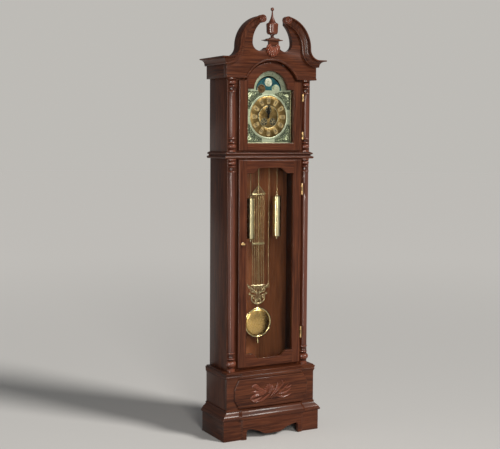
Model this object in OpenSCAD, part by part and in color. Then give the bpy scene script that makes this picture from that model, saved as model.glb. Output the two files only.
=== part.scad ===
// Longcase clock: a wooden case in three stages with a broken-scroll hood, two doors,
// a two-weight chain-driven movement, a lyre pendulum and a break-arch moon dial.
// The origin is the middle of the footprint on the floor; the front faces -Y.

/* [Case] */
// Outside width of the trunk
trunk_w = 444; // [400:1:540]
// Depth of the case from the face frame to the back
case_d = 185; // [165:1:225]
// Height of the base, from the floor to the trunk floor
base_h = 327; // [280:1:400]
// Height of the trunk, from the base to the waist
trunk_h = 1029; // [850:1:1240]
// Height of the hood, from the waist to the underside of the frieze
hood_h = 361; // [350:1:430]
// Height of the frieze above the hood door
frieze_h = 61; // [50:1:80]
// Thickness of the side boards and face frames
board = 18; // [15:0.5:22]
// Thickness of the back panel
back_t = 8; // [5:0.5:12]

/* [Base and plinth] */
// Height of the plinth boards
plinth_h = 100; // [80:1:125]
// How far the base stands outside the trunk at each side
base_step = 18; // [12:1:24]
// How far the plinth stands outside the base at each side
plinth_step = 22; // [18:1:28]
// How far the middle of the front breaks forward
break_out = 8; // [4:1:8]
// Half width of the part that breaks forward
break_half = 160; // [130:1:175]
// Height of the opening under the plinth front
foot_open_h = 50; // [35:1:60]
// Width of each bracket foot
foot_w = 120; // [90:1:130]

/* [Mouldings] */
// Height of the crown moulding
crown_h = 34; // [28:1:40]
// Projection of the crown moulding
crown_out = 37; // [30:1:40]
// Projection of the frieze in front of the face frame
frieze_out = 28; // [24:1:32]
// Projection of the waist moulding
waist_out = 16; // [14:1:30]
// Height of the waist moulding
waist_h = 32; // [24:1:38]
// Outer radius of the swan-neck bow
neck_bow_r = 148; // [130:1:155]
// Radius of the hollow where the neck leaves the cornice
neck_hollow_r = 50; // [40:1:60]
// Radius of the rosette at the end of each scroll
rosette_r = 18; // [14:0.5:20]

/* [Columns] */
// Shaft radius of the trunk columns
column_r = 17; // [14:0.5:19]
// Shaft radius of the hood columns
hood_column_r = 15.5; // [12:0.5:18]
// Width of the face frame that each column stands on
column_zone = 51; // [46:1:58]

/* [Doors] */
// Thickness of both doors
door_t = 18; // [15:0.5:20]
// Width of the door stiles
stile_w = 44; // [36:1:52]
// Height of the trunk door's rails at the middle
rail_h = 40; // [32:1:50]
// Rise of the shaped edge of the trunk door's rails
rail_rise = 26; // [12:1:30]
// Radius of the arched top of the hood door
door_arch_r = 146; // [136:1:148]
// Radius of the arched glass opening of the hood door
glass_arch_r = 92; // [80:1:92]
// Radius of the hinge pins
pin_r = 1.6; // [1.2:0.1:2]
// Radius of the hinge knuckles
knuckle_r = 4; // [3.2:0.1:4.4]

/* [Dial] */
// Width of the dial plate
dial_w = 252; // [240:1:256]
// Outer radius of the chapter ring
chapter_r = 99; // [85:1:105]
// Radius of the dial arch
dial_arch_r = 98; // [94:1:100]
// Length of the minute hand
minute_len = 84; // [60:1:94]
// Length of the hour hand
hour_len = 56; // [40:1:75]

/* [Weights and pendulum] */
// Radius of the weights
weight_r = 20; // [15:0.5:24]
// Length of the weight shells
weight_len = 190; // [140:1:230]
// Length of chain between sprocket and time weight
time_drop = 320; // [200:1:420]
// Length of chain between sprocket and strike weight
strike_drop = 328; // [200:1:420]
// Length of the free chain below each sprocket
free_drop = 772; // [500:1:800]
// Pitch radius of the chain sprockets
sprocket_r = 22.5; // [18:0.5:25]
// Radius of the pendulum bob
bob_r = 75; // [55:1:86]
// Thickness of the pendulum bob
bob_t = 26; // [18:1:30]
// Height of the bob's centre above the trunk floor
bob_up = 204; // [150:1:260]

/* [Hidden] */
$fn = 48;
gap = 1;
glue = 0.02;
arc_steps = 8;
plinth_lip = 7;

dial_up = 183;
door_arch_drop = 67;
glass_arch_drop = 55;
pendulum_in = 83;
plinth_in = 13;
door_lift = 13;

// Levels, from the floor up
z_base = base_h;
z_waist = z_base + trunk_h;
z_frieze = z_waist + hood_h;
z_crown = z_frieze + frieze_h;
z_top = z_crown + crown_h;
z_dial = z_waist + dial_up;
z_arch = z_frieze - door_arch_drop;
z_glass_arch = z_frieze - glass_arch_drop;

// Planes across the depth
y_back = (case_d + frieze_out + crown_out) / 2;
y_face = y_back - case_d;
y_frieze = y_face - frieze_out;
y_front = y_frieze - crown_out;
y_door = y_face - gap;
y_door_front = y_door - door_t;
y_inside = y_back - back_t;
y_plinth = y_front + plinth_lip + break_out;
y_base = y_plinth + plinth_in;
y_dial = y_face + 8;
y_pendulum = y_back - pendulum_in;

// Half widths
trunk_hw = trunk_w / 2;
inner_hw = trunk_hw - board;
hood_hw = trunk_hw + 3;
frieze_hw = hood_hw + board;
base_hw = trunk_hw + base_step;
plinth_hw = base_hw + plinth_step;
door_hw = trunk_hw - column_zone;
glass_hw = door_hw - stile_w;
column_x = trunk_hw - 4 - column_r;

// Hinge line, to the right of and in front of both doors
x_hinge = door_hw + knuckle_r + 0.5;
y_hinge = y_door_front - 1;

function arc(cx, cy, r, a0, a1, n = arc_steps) =
    [for (i = [0:n]) let (a = a0 + (a1 - a0) * i / n) [cx + r * cos(a), cy + r * sin(a)]];

function flip_x(points) = [for (i = [len(points) - 1:-1:0]) [-points[i][0], points[i][1]]];

// A smooth step from 0 to 1, used for curved returns and shaped rails
function ease(t) = t * t * (3 - 2 * t);

// Extrudes a drawing in the X-Z plane from y1 back to y0, with y0 in front
module front_plate(y0, y1) {
    translate([0, y1, 0]) rotate([90, 0, 0]) linear_extrude(y1 - y0) children();
}

module box(x0, x1, y0, y1, z0, z1) {
    translate([x0, y0, z0]) cube([x1 - x0, y1 - y0, z1 - z0]);
}

module both_sides() {
    children();
    mirror([1, 0, 0]) children();
}

// A cylinder along the depth, from y0 at the front to y1
module rod_y(x, z, r, y0, y1) {
    translate([x, y1, z]) rotate([90, 0, 0]) cylinder(r = r, h = y1 - y0);
}

// ---- Mitred mouldings round three sides of the case ----

// Plan of the front length of a moulding, cut at each end along the mitre. The slope is
// how far the moulding stands out at the front for each unit it stands out at the sides.
module front_mitre(hw, y, slope = 1, reach = 60) {
    near = hw - glue;
    far = near + reach;
    polygon([[-near, y], [near, y], [far, y - reach * slope], [-far, y - reach * slope]]);
}

// Plan of the left length of a moulding
module side_mitre(hw, y, slope = 1, reach = 60) {
    polygon([[-hw, y], [-hw - reach, y - reach * slope], [-hw - reach, y_back], [-hw, y_back]]);
}

// A straight moulding with a given section of [out, height] points
module mitred_front(section, hw, y) {
    intersection() {
        translate([-hw - 60, y, 0]) rotate([90, 0, 90]) linear_extrude(2 * hw + 120)
            polygon([for (p = section) [-p[0], p[1]]]);
        linear_extrude(z_top + 10) front_mitre(hw, y);
    }
}

module mitred_side(section, hw, y) {
    intersection() {
        translate([-hw, y_back, 0]) rotate([90, 0, 0]) linear_extrude(y_back - y + 60)
            polygon([for (p = section) [-p[0], p[1]]]);
        linear_extrude(z_top + 10) side_mitre(hw, y);
    }
}

// Plan outline of a front that breaks forward in the middle, grown outward by out
function break_outline(hw, y, out, slope = 1) = let (
    ramp = 14,
    right = [for (i = [0:arc_steps]) let (t = i / arc_steps)
        [break_half + out * 0.4 + ramp * t, y - out * slope - break_out * (1 - ease(t))]],
    half = concat(right, [[hw + out, y - out * slope]])
) concat(flip_x(half), half);

// One level of a stepped moulding: the front length, broken forward, and the left length
module step_front(hw, y, out, slope, z0, z1) {
    translate([0, 0, z0]) linear_extrude(z1 - z0) intersection() {
        polygon(concat(break_outline(hw, y, out, slope), [[hw + out, y], [-hw - out, y]]));
        front_mitre(hw, y, slope);
    }
}

module step_side(hw, y, out, slope, z0, z1) {
    translate([0, 0, z0]) linear_extrude(z1 - z0) intersection() {
        translate([-hw - out, y - out * slope]) square([out, y_back - y + out * slope]);
        side_mitre(hw, y, slope);
    }
}

// Steps of an ogee moulding from z0 up to z1, widest at the bottom: [out, low, high]
function ogee_steps(out, z0, z1, lip, n = 6) = concat(
    [[out, z0, z0 + lip]],
    [for (i = [0:n - 1]) let (h = (z1 - z0 - lip) / n)
        [1 + (out - 3) * (1 - ease((i + 0.5) / n)), z0 + lip + i * h, z0 + lip + (i + 1) * h]]
);

// ---- Base and plinth ----

module plinth_front_board() {
    intersection() {
        linear_extrude(plinth_h)
            polygon(concat(break_outline(plinth_hw, y_plinth, 0),
                [[plinth_hw, y_base - 0.01], [-plinth_hw, y_base - 0.01]]));
        front_plate(y_front - 1, y_base + 1) difference() {
            translate([-plinth_hw, 0]) square([2 * plinth_hw, plinth_h]);
            both_sides() polygon(foot_opening());
        }
    }
}

// Right half of the opening between the bracket feet, with a shaped drop in the middle
function foot_opening() = let (
    foot_x = plinth_hw - foot_w,
    cusp_x = foot_x - 40,
    drop_z = foot_open_h * 0.34
) concat(
    [[0, -1], [0, drop_z], [cusp_x * 0.34, drop_z]],
    [for (i = [1:arc_steps]) let (t = i / arc_steps)
        [cusp_x * (0.34 + 0.6 * t), drop_z + (foot_open_h * 0.82 - drop_z) * ease(t)]],
    [[cusp_x, foot_open_h - 6]],
    arc(foot_x - 14, foot_open_h - 14, 14, 90, 0),
    [[foot_x, -1]]
);

module plinth_boards() {
    color("#4b1c12") {
        plinth_front_board();
        both_sides() box(-plinth_hw, -base_hw - 0.01, y_base, y_back, 0, plinth_h);
    }
}

module plinth_moulding() {
    out = plinth_step + plinth_lip;
    slope = (y_base - y_front - break_out) / out;
    color("#5a2114") for (s = ogee_steps(out, plinth_h, plinth_h + 46, 10)) {
        step_front(base_hw, y_base, s[0], slope, s[1], s[2]);
        both_sides() step_side(base_hw, y_base, s[0], slope, s[1], s[2]);
    }
}

module base_boards() {
    floor_low = z_base - board;
    front = y_base + board + glue;
    side = base_hw - board - glue;
    color("#4b1c12") {
        box(-base_hw, base_hw, y_base, y_base + board, 40, floor_low - glue);
        both_sides() box(-base_hw, -base_hw + board, front, y_back, 40, floor_low - glue);
        box(-side, side, y_inside - board, y_inside - 0.2, 40, floor_low - glue);
        difference() {
            box(-base_hw, base_hw, y_base, y_back, floor_low, z_base);
            box(-inner_hw - 0.2, inner_hw + 0.2, y_inside - 0.2, y_back + 1, floor_low - 1,
                z_base + 1);
        }
    }
}

panel_low = plinth_h + 48;
panel_high = z_base - 35;

// Half width of the raised panel's shaped edge at a share of its height
function panel_half(t) = break_half + 18 + 26 * sin(180 * t) * (1 - 0.12 * cos(720 * t));

module base_raised_panel() {
    steps = 24;
    right = [for (i = [0:steps]) let (t = i / steps)
        [panel_half(t), panel_low + (panel_high - panel_low) * t]];
    color("#5e2315") front_plate(y_base - break_out, y_base)
        polygon(concat(right, flip_x(right)));
}

// One leaf of the carving: a pointed oval of a given length and width
function leaf(length, width, n = 10) = concat(
    [for (i = [0:n]) let (t = i / n) [length * t, width * sin(180 * pow(t, 0.8))]],
    [for (i = [n - 1:-1:1]) let (t = i / n) [length * t, -width * 0.6 * sin(180 * t)]]
);

module base_carving() {
    middle = (panel_low + panel_high) / 2;
    color("#6b2a18") front_plate(y_base - break_out - 5, y_base - break_out)
        translate([0, middle]) {
            both_sides() {
                translate([14, 0]) rotate(12) polygon(leaf(104, 14));
                translate([14, -8]) rotate(-22) polygon(leaf(78, 11));
                translate([14, 10]) rotate(38) polygon(leaf(58, 9));
            }
            circle(r = 27);
        }
}

module base_top_moulding() {
    low = z_base - 33;
    levels = [[2, low, low + 5], [4, low + 5, low + 14], [5, low + 14, low + 22],
        [6, low + 22, z_base - 5]];
    color("#5a2114") for (s = levels) {
        step_front(base_hw, y_base, s[0], 1, s[1], s[2]);
        both_sides() step_side(base_hw, y_base, s[0], 1, s[1], s[2]);
    }
}

// ---- Trunk ----

module back_panel() {
    color("#4a2014") box(-inner_hw, inner_hw, y_inside, y_back, 60, z_crown);
}

module trunk_sides() {
    color("#43190f") both_sides() box(-trunk_hw, -inner_hw, y_face, y_back, z_base, z_waist);
}

frame_low = 48;
frame_high = 48;
frame_stile = trunk_hw - board - (glass_hw + 8);

module trunk_front_frame() {
    inner = inner_hw - frame_stile;
    rail = inner - glue;
    color("#5a2114") {
        both_sides() box(-inner_hw, -inner, y_face, y_face + board, z_base, z_waist);
        box(-rail, rail, y_face, y_face + board, z_base, z_base + frame_low);
        box(-rail, rail, y_face, y_face + board, z_waist - frame_high, z_waist);
    }
}

// Outline of a turned column, [radius, height], with rings and bulbs at both ends
function turned_column(r, h, foot, head) = let (
    ring = r + 3,
    neck = r * 0.62
) concat(
    [[0, 0], [ring, 0], [ring, foot * 0.1], [r - 2, foot * 0.14], [neck, foot * 0.2]],
    arc(neck, foot * 0.38, foot * 0.16, -70, 70, 6),
    [[neck, foot * 0.56], [ring - 1, foot * 0.6], [ring - 1, foot * 0.66], [neck + 2, foot * 0.72]],
    [[neck + 2, foot * 0.8], [ring, foot * 0.86], [ring, foot * 0.96], [r, foot]],
    [[r, h - head], [ring, h - head * 0.96], [ring, h - head * 0.86], [neck + 2, h - head * 0.8]],
    [[neck + 2, h - head * 0.66], [ring - 1, h - head * 0.6], [ring - 1, h - head * 0.52]],
    [[neck, h - head * 0.46]],
    arc(neck, h - head * 0.3, head * 0.14, -60, 60, 6),
    [[neck, h - head * 0.14], [ring, h - head * 0.1], [ring, h], [0, h]]
);

// A column split down its length and glued to the face frame
module split_column(r, low, high, foot, head) {
    intersection() {
        translate([column_x, y_face, low]) rotate_extrude()
            polygon(turned_column(r, high - low, foot, head));
        box(0, trunk_hw, y_face - 60, y_face - 0.01, low, high);
    }
}

module trunk_columns() {
    color("#6b2a18") both_sides()
        split_column(column_r, z_base, waist_low, 97, 67);
}

// Section of the waist moulding: a large round nose below a smaller one
waist_low = z_waist - waist_h / 2;
waist_high = waist_low + waist_h;
lower_r = waist_h * 0.19;
upper_r = waist_h * 0.15;
waist_section = concat(
    [[0, waist_low]],
    arc(waist_out - lower_r, waist_low + lower_r, lower_r, -90, 90),
    [[waist_out - 11, waist_low + 2 * lower_r + 1], [waist_out - 11, waist_high - 2 * upper_r - 4]],
    arc(waist_out - upper_r - 3, waist_high - upper_r - 3, upper_r, -90, 90),
    [[waist_out - 11, waist_high - 2], [waist_out - 11, waist_high], [0, waist_high]]
);

module waist_moulding() {
    color("#5a2114") {
        mitred_front(waist_section, hood_hw, y_face);
        both_sides() mitred_side(waist_section, hood_hw, y_face);
    }
}

// ---- Hood ----

module hood_carcass() {
    roof_low = z_crown + 12;
    color("#43190f") {
        both_sides() {
            box(-hood_hw, -hood_hw + board, y_face, y_back, z_waist, roof_low);
            box(-frieze_hw, -hood_hw - glue, y_face, y_back, z_frieze, roof_low);
        }
        box(-frieze_hw, frieze_hw, y_face, y_back, roof_low + glue, roof_low + board);
    }
}

frame_arch_r = dial_arch_r + 6;

module hood_front_frame() {
    inner = dial_w / 2 + 6;
    outer = hood_hw - board;
    rail_top = z_waist + 48;
    arch_low = z_glass_arch + 6;
    color("#5a2114") {
        both_sides() box(-outer, -inner, y_face, y_face + board, z_waist, arch_low - glue);
        box(-inner + glue, inner - glue, y_face, y_face + board, z_waist, rail_top);
        front_plate(y_face, y_face + board) difference() {
            translate([-outer, arch_low]) square([2 * outer, z_crown - arch_low]);
            translate([0, z_glass_arch]) circle(r = frame_arch_r);
        }
    }
}

module hood_columns() {
    color("#6b2a18") both_sides() split_column(hood_column_r, waist_high, z_frieze, 70, 70);
}

// The swan neck runs level, turns up through a hollow and bows over to the rosette
hollow_x = frieze_hw - 2;
hollow_z = z_top + neck_hollow_r;
bow_x = hollow_x - neck_hollow_r - neck_bow_r;
bow_end = 80;
rosette_x = bow_x + neck_bow_r * cos(bow_end);
rosette_z = hollow_z + (neck_bow_r - rosette_r) * sin(bow_end) + 2;
pedestal_hw = 30;
arch_r = door_arch_r + 6;

// Right half of the scroll board, seen from the front
module scroll_board_half() {
    cut_r = 38;
    cut_z = hollow_z + 22;
    upper_r = cut_r + 81;
    difference() {
        union() {
            translate([-1, z_frieze]) square([frieze_hw + 1, z_top - z_frieze]);
            translate([-1, z_crown]) square([hollow_x - neck_hollow_r + 1, hollow_z - z_crown]);
            difference() {
                translate([hollow_x - neck_hollow_r - 1, z_crown])
                    square([neck_hollow_r + 1, hollow_z - z_crown]);
                translate([hollow_x, hollow_z]) circle(r = neck_hollow_r);
            }
            intersection() {
                translate([bow_x, hollow_z]) circle(r = neck_bow_r);
                translate([bow_x, hollow_z - 1]) square([neck_bow_r, neck_bow_r + 1]);
            }
        }
        translate([rosette_x, cut_z]) circle(r = cut_r);
        translate([pedestal_hw, cut_z - 12]) square([rosette_x - pedestal_hw, 14]);
        intersection() {
            translate([rosette_x - (upper_r - cut_r), cut_z]) circle(r = upper_r);
            translate([pedestal_hw, cut_z]) square([upper_r + cut_r, upper_r]);
        }
        translate([-2, cut_z + 9]) square([rosette_x + 2, 200]);
        intersection() {
            translate([0, z_arch]) circle(r = arch_r);
            translate([-2, z_frieze - 1]) square([arch_r + 2, arch_r]);
        }
    }
}

module tympanum() {
    bead = 8;
    bead_x = sqrt(pow(arch_r, 2) - pow(z_frieze + bead - z_arch, 2));
    color("#5e2315") {
        front_plate(y_frieze, y_face) both_sides() scroll_board_half();
        front_plate(y_frieze - 4, y_frieze - 0.01) union() {
            intersection() {
                difference() {
                    translate([0, z_arch]) circle(r = arch_r + bead);
                    translate([0, z_arch]) circle(r = arch_r);
                }
                translate([-arch_r - bead, z_frieze]) square([2 * (arch_r + bead), 200]);
            }
            both_sides() translate([bead_x, z_frieze]) square([frieze_hw - bead_x, bead]);
        }
    }
}

// Section of the crown moulding: [height above its lower edge, projection]
crown_section = concat(
    [[0, 0], [0, 10], [5, 11]],
    arc(6, crown_out - 4, crown_h - 12, 270, 360),
    [[crown_h - 6, crown_out - 4], [crown_h - 6, crown_out], [crown_h, crown_out], [crown_h, 0]]
);

module neck_right() {
    intersection() {
        translate([0, y_frieze, z_crown]) rotate([90, 0, 90]) linear_extrude(frieze_hw + 60)
            polygon([for (p = crown_section) [-p[1], p[0]]]);
        linear_extrude(z_top + 10) intersection() {
            front_mitre(frieze_hw, y_frieze);
            translate([hollow_x, y_front - 10]) square([200, 200]);
        }
    }
    translate([hollow_x, y_frieze, hollow_z]) rotate([90, 0, 0]) rotate([0, 0, 180])
        rotate_extrude(angle = 90)
            polygon([for (p = crown_section) [neck_hollow_r + crown_h - p[0], p[1]]]);
    translate([bow_x, y_frieze, hollow_z]) rotate([90, 0, 0])
        rotate_extrude(angle = bow_end)
            polygon([for (p = crown_section) [neck_bow_r - crown_h + p[0], p[1]]]);
    rod_y(rosette_x, rosette_z, rosette_r, y_front, y_frieze);
}

module swan_necks() {
    color("#5a2114") both_sides() neck_right();
}

module cornice_sides() {
    section = [for (p = crown_section) [p[1], z_crown + p[0]]];
    color("#43190f") both_sides() mitred_side(section, frieze_hw, y_frieze);
}

finial_y = y_frieze + 6;
pedestal_z = hollow_z + 31;

cap_hollow_r = 18;
cap_h = 24 - cap_hollow_r * sin(40);

// Plinth block on the scroll board, with a cap whose ends turn up
module finial_pedestal() {
    cap = 45;
    color("#6b2a18") {
        box(-27, 27, y_frieze - 12, y_frieze - 0.01, pedestal_z - 27, pedestal_z);
        front_plate(y_frieze - 18, y_face) polygon(concat(
            [[-30, pedestal_z], [30, pedestal_z]],
            arc(cap, pedestal_z + 20, cap_hollow_r, 250, 270, 4),
            [[cap + 2, pedestal_z + 5]],
            arc(cap - 8, pedestal_z + 24, cap_hollow_r, 270, 220, 4),
            arc(-cap + 8, pedestal_z + 24, cap_hollow_r, 320, 270, 4),
            [[-cap - 2, pedestal_z + 5]],
            arc(-cap, pedestal_z + 20, cap_hollow_r, 270, 290, 4)
        ));
    }
}

finial_z = pedestal_z + cap_h;
finial_h = 157 - cap_h;

// Turned urn with a slender spire and a ball at the tip
module finial() {
    ball_r = 8.5;
    tip = finial_h - ball_r;
    color("#7a3320") translate([0, finial_y, finial_z]) rotate_extrude() polygon(concat(
        [[0, 0], [16, 0], [16, 3], [9, 5], [7.5, 11], [9, 16]],
        arc(11, 32, 16, -70, 0, 5),
        [[27, 50], [28.5, 64], [28.5, 69], [24, 71]],
        [for (i = [1:arc_steps]) let (t = i / arc_steps) [3 + 15 * pow(1 - t, 2.2), 71 + 52 * t]],
        arc(0, tip, ball_r, -62, 90, 8)
    ));
}

module shell_carving() {
    flutes = 8;
    color("#7a3320") front_plate(y_frieze - 8, y_frieze - 0.01) translate([0, pedestal_z - 27])
        polygon(concat(
            [for (i = [0:flutes * 6]) let (a = -180 * i / (flutes * 6))
                [(35 + 2.5 * abs(sin(i * 30))) * cos(a), (44 + 3 * abs(sin(i * 30))) * sin(a)]]
        ));
}

// ---- Movement layout, seen from the front, in a frame centred on the hands ----

seat_top = z_dial - 87;
seat_t = 18;
plate_t = 2.5;
y_plate_front = y_dial + 24;
y_plate_back = y_plate_front + plate_t + 47.5;
plate_hw = 95;
plate_low = seat_top;
plate_high = z_dial + 78;

free_x = 28;
sprocket_x = free_x + sprocket_r;
weight_x = free_x + 2 * sprocket_r;
y_chain = y_plate_front + plate_t + 13.5;
chain_r = 2.2;

great_teeth = 72;
second_pinion = 12;
second_teeth = 56;
centre_pinion = 14;
centre_teeth = 64;
third_pinion = 8;
third_teeth = 60;
escape_pinion = 8;
escape_teeth = 30;
great_m = 1;
second_m = 0.8;
centre_m = 0.7;
cannon_teeth = 12;
minute_teeth = 36;
minute_pinion = 10;
hour_teeth = 40;
cannon_m = 0.75;
hour_m = cannon_m * (cannon_teeth + minute_teeth) / (minute_pinion + hour_teeth);

centre_at = [0, z_dial];
second_d = second_m * (centre_pinion + second_teeth) / 2;
second_at = [26.7, z_dial - sqrt(pow(second_d, 2) - pow(26.7, 2))];
great_d = great_m * (great_teeth + second_pinion) / 2;
great_at = [sprocket_x, second_at[1] - sqrt(pow(great_d, 2) - pow(sprocket_x - 26.7, 2))];
escape_at = [0, z_dial + 27];
third_d = centre_m * (centre_teeth + third_pinion) / 2;
escape_d = centre_m * (third_teeth + escape_pinion) / 2;
third_up = (pow(third_d, 2) - pow(escape_d, 2) + pow(27, 2)) / (2 * 27);
third_at = [-sqrt(pow(third_d, 2) - pow(third_up, 2)), z_dial + third_up];
escape_r = 22;
anchor_at = [0, escape_at[1] + escape_r * sqrt(2)];
minute_angle = -60;
minute_d = cannon_m * (cannon_teeth + minute_teeth) / 2;
minute_at = [minute_d * cos(minute_angle), z_dial + minute_d * sin(minute_angle)];
strike_at = [-great_at[0], great_at[1]];
moon_at = [0, z_glass_arch - 4];
z_chain = great_at[1];

// Depth of each layer of wheels, behind the front plate
y_great = y_plate_front + plate_t + 19.5;
y_second = y_great + 6;
y_centre = y_second + 6;
y_third = y_centre + 6;
y_escape = y_third + 5.5;

function bearing(from, to) = atan2(to[1] - from[1], to[0] - from[0]);

// Outline of a wheel: teeth of pitch module m, the first one centred on angle a0
function gear_points(n, m, a0, thin = 1) = [for (i = [0:n - 1]) let (
    a = a0 + 360 * i / n,
    r = n * m / 2,
    w = 90 / n
) each [
    [(r - 1.1 * m) * cos(a - w * 1.15 * thin), (r - 1.1 * m) * sin(a - w * 1.15 * thin)],
    [r * cos(a - w * 0.8 * thin), r * sin(a - w * 0.8 * thin)],
    [(r + 0.75 * m) * cos(a - w * 0.3 * thin), (r + 0.75 * m) * sin(a - w * 0.3 * thin)],
    [(r + 0.75 * m) * cos(a + w * 0.3 * thin), (r + 0.75 * m) * sin(a + w * 0.3 * thin)],
    [r * cos(a + w * 0.8 * thin), r * sin(a + w * 0.8 * thin)],
    [(r - 1.1 * m) * cos(a + w * 1.15 * thin), (r - 1.1 * m) * sin(a + w * 1.15 * thin)]
]];

// A crossed-out wheel with four spokes
module wheel(at, n, m, a0, y0, t = 2) {
    r = n * m / 2;
    front_plate(y0, y0 + t) translate(at) {
        difference() {
            polygon(gear_points(n, m, a0));
            circle(r = r - 3.5 * m - 1);
        }
        difference() {
            union() {
                for (a = [0, 90]) rotate(a0 + a) square([2 * r - 6 * m, 2.6], center = true);
                circle(r = r * 0.22 + 1);
            }
            circle(r = 1);
        }
    }
}

module pinion(at, n, m, a0, y0, t) {
    front_plate(y0, y0 + t) translate(at) polygon(gear_points(n, m, a0, 0.7));
}

module arbor(at, r, y0, y1) {
    rod_y(at[0], at[1], r, y0, y1);
}

module seat_board() {
    slot_w = 16;
    y0 = y_plate_front - 6;
    y1 = y_plate_back + 8;
    low = seat_top - seat_t;
    inner = hood_hw - board;
    color("#4b2a16") {
        difference() {
            box(-inner, inner, y0, y1, low, seat_top);
            both_sides() for (x = [free_x, weight_x])
                box(x - slot_w / 2, x + slot_w / 2, y_chain - 9, y_chain + 9, low - 1, seat_top + 1);
        }
        both_sides() box(-inner, -inner + 20, y0, y1, low - 22, low);
    }
}

// ---- Dial ----

dial_low = z_dial - 128;
moon_r = 20;
moon_orbit = 44;
hump_at = [39, z_arch + 21];

module dial_plate() {
    hw = dial_w / 2;
    color("#c8a24a") {
        front_plate(y_dial, y_dial + 1.5) difference() {
            union() {
                translate([-hw, dial_low]) square([dial_w, z_glass_arch + 6 - dial_low]);
                translate([0, z_glass_arch]) circle(r = dial_arch_r);
            }
            translate(centre_at) circle(r = 6);
            difference() {
                translate([0, z_glass_arch]) circle(r = dial_arch_r - 28);
                translate([-100, z_glass_arch - 200]) square([200, 200 + 2]);
                both_sides() translate(hump_at) circle(r = moon_r + 1);
            }
        }
        both_sides() for (z = [-60, 60])
            rod_y(-75, z_dial + z, 3, y_dial + 1.5, y_plate_front);
        rod_y(moon_at[0], moon_at[1], 1.9, y_dial + 1.5, y_dial + 5);
    }
}

module chapter_ring() {
    color("#b07a2c") front_plate(y_dial - 1, y_dial) difference() {
        translate(centre_at) circle(r = chapter_r + 8, $fn = 96);
        translate(centre_at) circle(r = 50);
    }
}

module dial_spandrels() {
    corner = dial_w / 2 - 6;
    color("#d8b85a") front_plate(y_dial - 2, y_dial) {
        difference() {
            translate([0, z_dial]) square([2 * corner, 2 * corner], center = true);
            translate(centre_at) circle(r = chapter_r + 9, $fn = 96);
            translate([0, z_dial]) square([2 * corner + 2, 70], center = true);
            translate([0, z_dial]) square([70, 2 * corner + 2], center = true);
        }
    }
}

module moon_disc() {
    color("#12455a") front_plate(y_dial + 2.5, y_dial + 3.5) difference() {
        translate(moon_at) circle(r = dial_arch_r - 30);
        translate(moon_at) circle(r = 1.95);
    }
}

// A tapering hand with a pierced loop near its boss, pointing at twelve
module hand(length, boss, hole, loop_up, loop_r, y0) {
    front_plate(y0, y0 + 0.8) translate(centre_at) difference() {
        union() {
            circle(r = boss);
            polygon([[-1.6, 0], [1.6, 0], [0.5, length], [-0.5, length]]);
            translate([0, loop_up]) circle(r = loop_r);
            translate([0, loop_up + loop_r + 4]) circle(r = loop_r * 0.55);
            translate([0, loop_up - loop_r - 3]) circle(r = loop_r * 0.5);
        }
        circle(r = hole);
        both_sides() translate([loop_r * 0.48, loop_up]) circle(r = loop_r * 0.36);
    }
}

pipe_r = 3;
pipe_fit = 0.06;
y_cannon = y_plate_front - 5;

module minute_hand() {
    color("#141414") {
        hand(minute_len, 6, 1, 27, 5.5, y_dial - 6.5);
        arbor(centre_at, pipe_r, y_dial - 5.7, y_cannon);
        pinion(centre_at, cannon_teeth, cannon_m, 180 / cannon_teeth + minute_angle, y_cannon, 3);
        arbor(centre_at, 4.5, y_dial - 8, y_dial - 6.5);
    }
}

module hour_hand() {
    color("#141414") {
        hand(hour_len, 7, pipe_r + pipe_fit, 19, 6.5, y_dial - 3.5);
        front_plate(y_dial - 2.7, y_cannon - 6) translate(centre_at) difference() {
            circle(r = 4.6);
            circle(r = pipe_r + pipe_fit);
        }
        front_plate(y_cannon - 6, y_cannon - 4) translate(centre_at) difference() {
            polygon(gear_points(hour_teeth, hour_m, bearing(centre_at, minute_at)));
            circle(r = pipe_r + pipe_fit);
        }
    }
}

stud_r = 1.5;

module minute_wheel() {
    back = bearing(minute_at, centre_at);
    color("#d8b85a") difference() {
        union() {
            front_plate(y_cannon, y_cannon + 2) translate(minute_at)
                polygon(gear_points(minute_teeth, cannon_m, back));
            front_plate(y_cannon - 7, y_cannon) translate(minute_at)
                polygon(gear_points(minute_pinion, hour_m, back + 180 / minute_pinion, 0.8));
        }
        arbor(minute_at, stud_r + pipe_fit, y_cannon - 8, y_cannon + 3);
    }
}

// ---- Movement frame and train ----

pillars = [[-85, 12], [85, 12], [-60, 148], [60, 148]];
hole_fit = 0.08;

module plate_outline() {
    translate([-plate_hw, plate_low]) square([2 * plate_hw, plate_high - plate_low]);
}

module pivot_holes(y0) {
    for (at = [centre_at, second_at, great_at, third_at, escape_at, anchor_at, strike_at])
        translate([at[0], y0, at[1]]) rotate([90, 0, 0])
            cylinder(r = (at == centre_at ? 2.5 : 1.2) + hole_fit, h = 20, center = true);
}

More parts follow.
